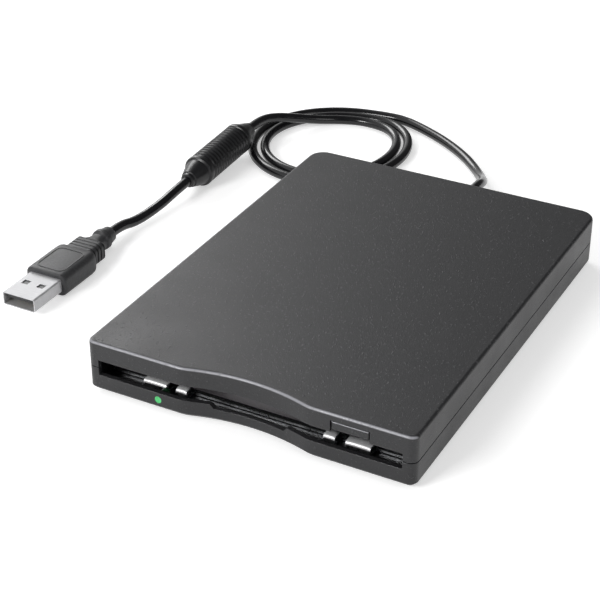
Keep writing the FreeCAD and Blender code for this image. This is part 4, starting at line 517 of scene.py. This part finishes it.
FINISHES = {
    "top_cover": CASE, "bottom_cover": SHADED_LOWER_CASE, "eject_button": BUTTON, "dust_door": DOOR,
    "rubber_feet": RUBBER, "case_screws": BLACK_STEEL, "chassis_screws": STEEL,
    "chassis": STEEL, "guide_rods": NICKEL, "motor_board": BOARD, "stator_coils": COPPER,
    "spindle_bearing": BRONZE, "spindle_rotor": NICKEL, "disk_holder": STEEL,
    "shutter_lever": WHITE_PLASTIC, "cam_slider": STEEL, "slider_springs": NICKEL,
    "head_carriage": HEAD_PLASTIC, "upper_head_arm": HEAD_PLASTIC, "lead_screw": NICKEL,
    "stepper_motor": STEEL, "stepper_bracket": STEEL, "switch_housings": DARK_PLASTIC,
    "write_protect_plunger": WHITE_PLASTIC, "disk_in_plunger": WHITE_PLASTIC,
    "density_plunger": WHITE_PLASTIC, "control_board": BOARD, "control_chips": CHIP,
    "usb_board": BOARD, "usb_chips": CHIP, "ribbon_cable": FLAT_CABLE,
    "activity_led": LED_BODY, "led_lens": LAMP, "strain_relief": CABLE,
    "plug_shell": SHELL, "plug_tongue": TONGUE, "plug_contacts": GOLD,
}


def dress(piece, material):
    piece.data.materials.clear()
    piece.data.materials.append(material)


for node_name, finish in FINISHES.items():
    dress(NODES[node_name], finish)
dress(drive_cable, CABLE)
dress(plug_cable, CABLE)


# Shapes built ring by ring
def new_ring(bm, points):
    return [bm.verts.new(spot) for spot in metres(points)]


def bridge_rings(bm, rings, cap=True):
    for low, high in zip(rings, rings[1:]):
        count = len(low)
        for index in range(count):
            following = (index + 1) % count
            bm.faces.new((low[index], low[following], high[following], high[index]))
    if cap:
        bm.faces.new(list(reversed(rings[0])))
        bm.faces.new(rings[-1])


def finish_mesh(name, bm, material, crisp_angle):
    """Turn a bmesh into a smooth piece, with the edges above this angle kept crisp."""
    bmesh.ops.recalc_face_normals(bm, faces=bm.faces)
    for face in bm.faces:
        face.smooth = True
    for edge in bm.edges:
        if len(edge.link_faces) == 2 and edge.calc_face_angle(0.0) > math.radians(crisp_angle):
            edge.smooth = False
    mesh = bpy.data.meshes.new(name)
    bm.to_mesh(mesh)
    bm.free()
    mesh.materials.append(material)
    return add_piece(name, mesh)


def rounded_corners(width, length, radius, steps, inset=0.0):
    """The points of a rounded rectangle about the middle, each corner in this many steps."""
    points = []
    for corner in range(4):
        right = 1 if corner in (0, 3) else -1
        up = 1 if corner in (0, 1) else -1
        for step in range(steps + 1):
            angle = QUARTER_TURN * (corner + step / steps)
            points.append((right * (width / 2 - radius) + (radius - inset) * math.cos(angle),
                           up * (length / 2 - radius) + (radius - inset) * math.sin(angle)))
    return points


# Ferrite sleeve, with its fine cross ribs
FERRITE_R = 5.7
FERRITE_TAPER = 7.5
FERRITE_SIDES = 72
FERRITE_CRISP = 28.0
# Distance from either end and radius: the collar, the taper and the plain band up to the ribs
FERRITE_END = (
    (0.0, 2.2), (0.15, 2.55), (1.3, 2.7), (1.5, 3.1), (2.0, 3.25), (4.0, 4.0),
    (FERRITE_TAPER - 0.6, 4.75), (FERRITE_TAPER - 0.2, 4.85), (FERRITE_TAPER, 5.1),
    (FERRITE_TAPER + 0.25, FERRITE_R - 0.12), (FERRITE_TAPER + 0.5, FERRITE_R),
    (FERRITE_TAPER + 2.0, FERRITE_R), (FERRITE_TAPER + 2.2, FERRITE_R - 0.1),
    (FERRITE_TAPER + 2.4, FERRITE_R - 0.45), (FERRITE_TAPER + 3.0, FERRITE_R - 0.45),
)
RIB_PITCH = 1.75
# Share of the pitch and depth below the barrel's radius
RIB_SHAPE = ((0.15, 0.38), (0.35, 0.05), (0.65, 0.05), (0.85, 0.38))


def ferrite_profile(length):
    """A ribbed barrel between two plain bands and two tapered ends with a collar each."""
    start = FERRITE_END[-1][0]
    stop = length - start
    ribs = round((stop - start) / RIB_PITCH)
    pitch = (stop - start) / ribs
    profile = list(FERRITE_END)
    for index in range(ribs):
        low = start + pitch * index
        profile += [(low + share * pitch, FERRITE_R - depth) for share, depth in RIB_SHAPE]
    return profile + [(length - height, radius) for height, radius in reversed(FERRITE_END)]


def make_ferrite():
    """Spin the profile about the line from the sleeve's back to its front."""
    length = (Vector(FERRITE_FRONT) - Vector(FERRITE_BACK)).length
    turn = ferrite_along().to_track_quat("Z", "Y").to_matrix().to_4x4()
    place = Matrix.Translation(Vector(FERRITE_BACK)) @ turn
    bm = bmesh.new()
    rings = []
    for height, radius in ferrite_profile(length):
        points = []
        for index in range(FERRITE_SIDES):
            angle = 2 * math.pi * index / FERRITE_SIDES
            spot = Vector((radius * math.cos(angle), radius * math.sin(angle), height))
            points.append(place @ spot)
        rings.append(new_ring(bm, points))
    bridge_rings(bm, rings)
    return finish_mesh("ferrite_barrel", bm, FERRITE, FERRITE_CRISP)


ferrite = make_ferrite()
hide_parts("ferrite_sleeve")

# Plug grip. Each section is a place along the plug, a width, a height and a corner radius
GRIP_WIDTH = 15.0
GRIP_HEIGHT = 7.8
GRIP_CORNER = 2.2
GRIP_END = PLUG_FRONT_Y + 18.2
GRIP_CORNER_STEPS = 6
GRIP_CRISP = 30.0
BLOCK_WIDTH = 11.0
BLOCK_HEIGHT = 6.6
BLOCK_CORNER = 1.8
BLOCK_START = GRIP_END + 0.05
BLOCK_END = GRIP_END + 7.0
BLOCK_BARS = 4
BAR_PITCH = 1.75
GROOVE_SIDE = 1.6
GROOVE_TOP = 0.4
GROOVE_CORNER = 1.5
# Within one pitch: where the bar ends, the groove starts and ends, and the next bar starts
BAR_ENDS = 1.05
GROOVE_STARTS = 1.15
GROOVE_ENDS = 1.60
BAR_STARTS = 1.70


def grip_sections():
    """The wide grip, with both its ends rounded."""
    return [(PLUG_FRONT_Y, GRIP_WIDTH - 0.9, GRIP_HEIGHT - 0.9, 1.9),
            (PLUG_FRONT_Y + 0.15, GRIP_WIDTH - 0.4, GRIP_HEIGHT - 0.4, 2.1),
            (PLUG_FRONT_Y + 0.5, GRIP_WIDTH - 0.06, GRIP_HEIGHT - 0.06, GRIP_CORNER),
            (PLUG_FRONT_Y + 1.2, GRIP_WIDTH, GRIP_HEIGHT, GRIP_CORNER),
            (GRIP_END - 2.6, GRIP_WIDTH, GRIP_HEIGHT, GRIP_CORNER),
            (GRIP_END - 1.2, GRIP_WIDTH - 0.25, GRIP_HEIGHT - 0.15, GRIP_CORNER),
            (GRIP_END - 0.4, GRIP_WIDTH - 1.0, GRIP_HEIGHT - 0.6, 2.1),
            (GRIP_END, GRIP_WIDTH - 2.2, GRIP_HEIGHT - 1.3, 1.9)]


def block_sections():
    """The narrower block behind the grip, with a groove after each bar."""
    bar = (BLOCK_WIDTH, BLOCK_HEIGHT, BLOCK_CORNER)
    groove = (BLOCK_WIDTH - GROOVE_SIDE, BLOCK_HEIGHT - GROOVE_TOP, GROOVE_CORNER)
    sections = [(BLOCK_START, *bar)]
    for index in range(BLOCK_BARS):
        low = BLOCK_START + BAR_PITCH * index
        sections += [(low + BAR_ENDS, *bar), (low + GROOVE_STARTS, *groove),
                     (low + GROOVE_ENDS, *groove), (low + BAR_STARTS, *bar)]
    return sections


def neck_sections():
    """The waisted neck and the flared collar that the cable enters."""
    return [(BLOCK_END - 0.05, BLOCK_WIDTH - 0.3, BLOCK_HEIGHT - 0.3, BLOCK_CORNER),
            (BLOCK_END + 0.15, BLOCK_WIDTH - 1.6, BLOCK_HEIGHT - 1.0, BLOCK_CORNER),
            (BLOCK_END + 1.2, 7.2, 5.8, 2.0),
            (BLOCK_END + 2.4, 6.2, 5.4, 2.2),
            (BLOCK_END + 5.0, 6.0, 5.4, 2.4),
            (BLOCK_END + 5.5, 6.8, 6.6, 3.2),
            (BLOCK_END + 5.7, 7.1, 7.1, 3.5),
            (BLOCK_END + 7.2, 7.2, 7.2, 3.55),
            (BLOCK_END + 7.5, 6.4, 6.4, 3.15),
            (BLOCK_END + 10.8, 5.4, 5.4, 2.65),
            (BLOCK_END + 11.2, 4.8, 4.8, 2.35),
            (BLOCK_END + 11.3, 4.2, 4.2, 2.05)]


def make_grip():
    bm = bmesh.new()
    rings = []
    for y, width, height, radius in grip_sections() + block_sections() + neck_sections():
        outline = rounded_corners(width, height, radius, GRIP_CORNER_STEPS)
        rings.append(new_ring(bm, [(PLUG_X + across, y, PLUG_Z + up) for across, up in outline]))
    bridge_rings(bm, rings)
    return finish_mesh("plug_grip", bm, PLUG, GRIP_CRISP)


grip = make_grip()
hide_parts("plug_overmould")

# Thin raised outline on top of the grip, round its bare panel
PANEL_Y = PLUG_FRONT_Y + 8.6
PANEL_Z = PLUG_Z + 3.85
PANEL_WIDTH = 10.6
PANEL_LENGTH = 13.6
PANEL_CORNER = 2.2
PANEL_CORNER_STEPS = 8
PANEL_LINE = 0.4
PANEL_RISE = 0.2


def make_panel_rim():
    bm = bmesh.new()
    rings = []
    for inset, rise in ((0.0, 0.0), (0.0, PANEL_RISE), (PANEL_LINE, PANEL_RISE), (PANEL_LINE, 0.0)):
        outline = rounded_corners(PANEL_WIDTH, PANEL_LENGTH, PANEL_CORNER,
                                  PANEL_CORNER_STEPS, inset)
        points = [(PLUG_X + across, PANEL_Y + along, PANEL_Z + rise) for across, along in outline]
        rings.append(new_ring(bm, points))
    bridge_rings(bm, rings + rings[:1], cap=False)
    return finish_mesh("plug_panel_rim", bm, PLUG, GRIP_CRISP)


# Rolled lips on the steel tabs behind the slot, a hair above the tabs of the chassis
TAB_TOP_Z = 5.82
TAB_LOW_Z = 4.85
TAB_LIFT = 0.05
TAB_FRONT_Y = -65.9
TAB_SHEET = 0.2
TAB_TURN_R = 0.8
TAB_TURN_STEPS = 6
TAB_LENGTH = 3.1
TAB_SAG = 0.15
TAB_STRIPS = 12
TAB_CRISP = 50.0
# Distances of the tabs' sides from the middle
TAB_SIDES = (("wide", 28.5, 36.0), ("narrow", 21.8, 25.2))


def tab_profile():
    """Up the front of a tab, round its lip and back along its top, as (y, z)."""
    profile = [(TAB_FRONT_Y, TAB_LOW_Z)]
    for step in range(TAB_TURN_STEPS + 1):
        turn = QUARTER_TURN * step / TAB_TURN_STEPS
        profile.append((TAB_FRONT_Y + TAB_TURN_R * (1 - math.cos(turn)),
                        TAB_TOP_Z - TAB_TURN_R * (1 - math.sin(turn))))
    profile.append((TAB_FRONT_Y + TAB_LENGTH, TAB_TOP_Z))
    return profile


def make_tab_lip(name, low, high):
    """A bright steel lip with drawn-in ends."""
    profile = tab_profile()
    bm = bmesh.new()
    rings = []
    for index in range(TAB_STRIPS + 1):
        across = index / TAB_STRIPS
        x = low + (high - low) * across
        lift = TAB_LIFT - TAB_SAG * (2 * across - 1) ** 4
        outer = [(x, y, z + lift) for y, z in profile]
        inner = [(x, y + TAB_SHEET, z - TAB_SHEET + lift) for y, z in reversed(profile)]
        rings.append(new_ring(bm, outer + inner))
    bridge_rings(bm, rings)
    lip = finish_mesh(name, bm, BRIGHT_STEEL, TAB_CRISP)


for side, side_name in ((-1, "left"), (1, "right")):
    for kind, near, far in TAB_SIDES:
        make_tab_lip("slot_tab_%s_%s" % (side_name, kind), *sorted((side * near, side * far)))

panel = make_panel_rim()

# Floor, backdrop and light; sizes and places from here on are in metres
FLOOR_HALF = 3.0
FLOOR_COLOUR = (0.80, 0.80, 0.80)
FLOOR_ROUGHNESS = 0.7
# The floor's own light grows with the distance from the drive, up to the white of the backdrop
FLOOR_REACH = (0.20, 1.20)
FLOOR_GLOW = (0.47, 0.72)
WORLD_LIGHT = 0.38
# What the drive mirrors of the backdrop is bright to its left and dim elsewhere
WORLD_SIDEWAYS = (-0.55, -0.20)
WORLD_MIRRORED = (1.0, 0.10)
# Name, place, size and power; each light faces the origin
LIGHTS = (
    ("key", (-0.98, 0.69, 0.73), (0.6, 0.6), 9.0),
    ("front", (-0.38, -0.95, 0.60), (0.4, 0.3), 9.0),
    ("right", (1.10, -0.30, 0.60), (0.6, 0.4), 2.5),
)


def floor_material():
    """A dull white that takes the drive's shadow and fades into the backdrop."""
    material = bpy.data.materials.new("floor_white")
    material.use_nodes = True
    tree = material.node_tree
    shader = tree.nodes["Principled BSDF"]
    shader.inputs["Base Color"].default_value = (*FLOOR_COLOUR, 1.0)
    shader.inputs["Roughness"].default_value = FLOOR_ROUGHNESS
    shader.inputs["Specular IOR Level"].default_value = 0.0
    shader.inputs["Emission Color"].default_value = WHITE
    distance = tree.nodes.new("ShaderNodeVectorMath")
    distance.operation = "LENGTH"
    place = tree.nodes.new("ShaderNodeTexCoord").outputs["Object"]
    tree.links.new(place, distance.inputs[0])
    glow = spread(tree, distance.outputs["Value"], FLOOR_REACH, FLOOR_GLOW)
    glow = calculate(tree, "MULTIPLY", seen_or_mirrored(tree), glow)
    tree.links.new(glow, shader.inputs["Emission Strength"])
    # From below the floor is clear, so that the feet and the underside can be seen
    below = tree.nodes.new("ShaderNodeNewGeometry").outputs["Backfacing"]
    clear = tree.nodes.new("ShaderNodeBsdfTransparent")
    mix_shaders(tree, below, shader.outputs["BSDF"], clear.outputs["BSDF"],
                tree.nodes["Material Output"].inputs["Surface"])
    return material


def make_floor():
    half = FLOOR_HALF
    corners = [(-half, -half, 0), (half, -half, 0), (half, half, 0), (-half, half, 0)]
    mesh = bpy.data.meshes.new("floor")
    mesh.from_pydata(corners, [], [(0, 1, 2, 3)])
    mesh.materials.append(floor_material())
    add_object("floor", mesh)


def white_background(tree):
    node = tree.nodes.new("ShaderNodeBackground")
    node.inputs["Color"].default_value = WHITE
    return node


def make_world():
    """White behind the drive, graded in what the drive mirrors, and softer as a light."""
    world = bpy.data.worlds.new("world")
    bpy.context.scene.world = world
    world.use_nodes = True
    tree = world.node_tree
    tree.nodes.clear()
    light = white_background(tree)
    light.inputs["Strength"].default_value = WORLD_LIGHT
    view = white_background(tree)
    direction = tree.nodes.new("ShaderNodeTexCoord").outputs["Generated"]
    split = tree.nodes.new("ShaderNodeSeparateXYZ")
    tree.links.new(direction, split.inputs["Vector"])
    mirrored = spread(tree, split.outputs["X"], WORLD_SIDEWAYS, WORLD_MIRRORED)
    straight = tree.nodes.new("ShaderNodeLightPath").outputs["Is Camera Ray"]
    strength = calculate(tree, "MAXIMUM", mirrored, straight)
    tree.links.new(strength, view.inputs["Strength"])
    output = tree.nodes.new("ShaderNodeOutputWorld")
    mix_shaders(tree, seen_or_mirrored(tree), light.outputs["Background"],
                view.outputs["Background"], output.inputs["Surface"])


def area_light(name, place, size, power):
    data = bpy.data.lights.new(name, "AREA")
    data.shape = "RECTANGLE"
    data.size, data.size_y = size
    data.energy = power
    lamp = add_object(name, data)
    lamp.location = place
    lamp.rotation_euler = Vector(place).to_track_quat("Z", "Y").to_euler()


make_floor()
make_world()
for light in LIGHTS:
    area_light(*light)
bpy.context.scene.view_settings.view_transform = "Standard"

bpy.context.view_layer.update()
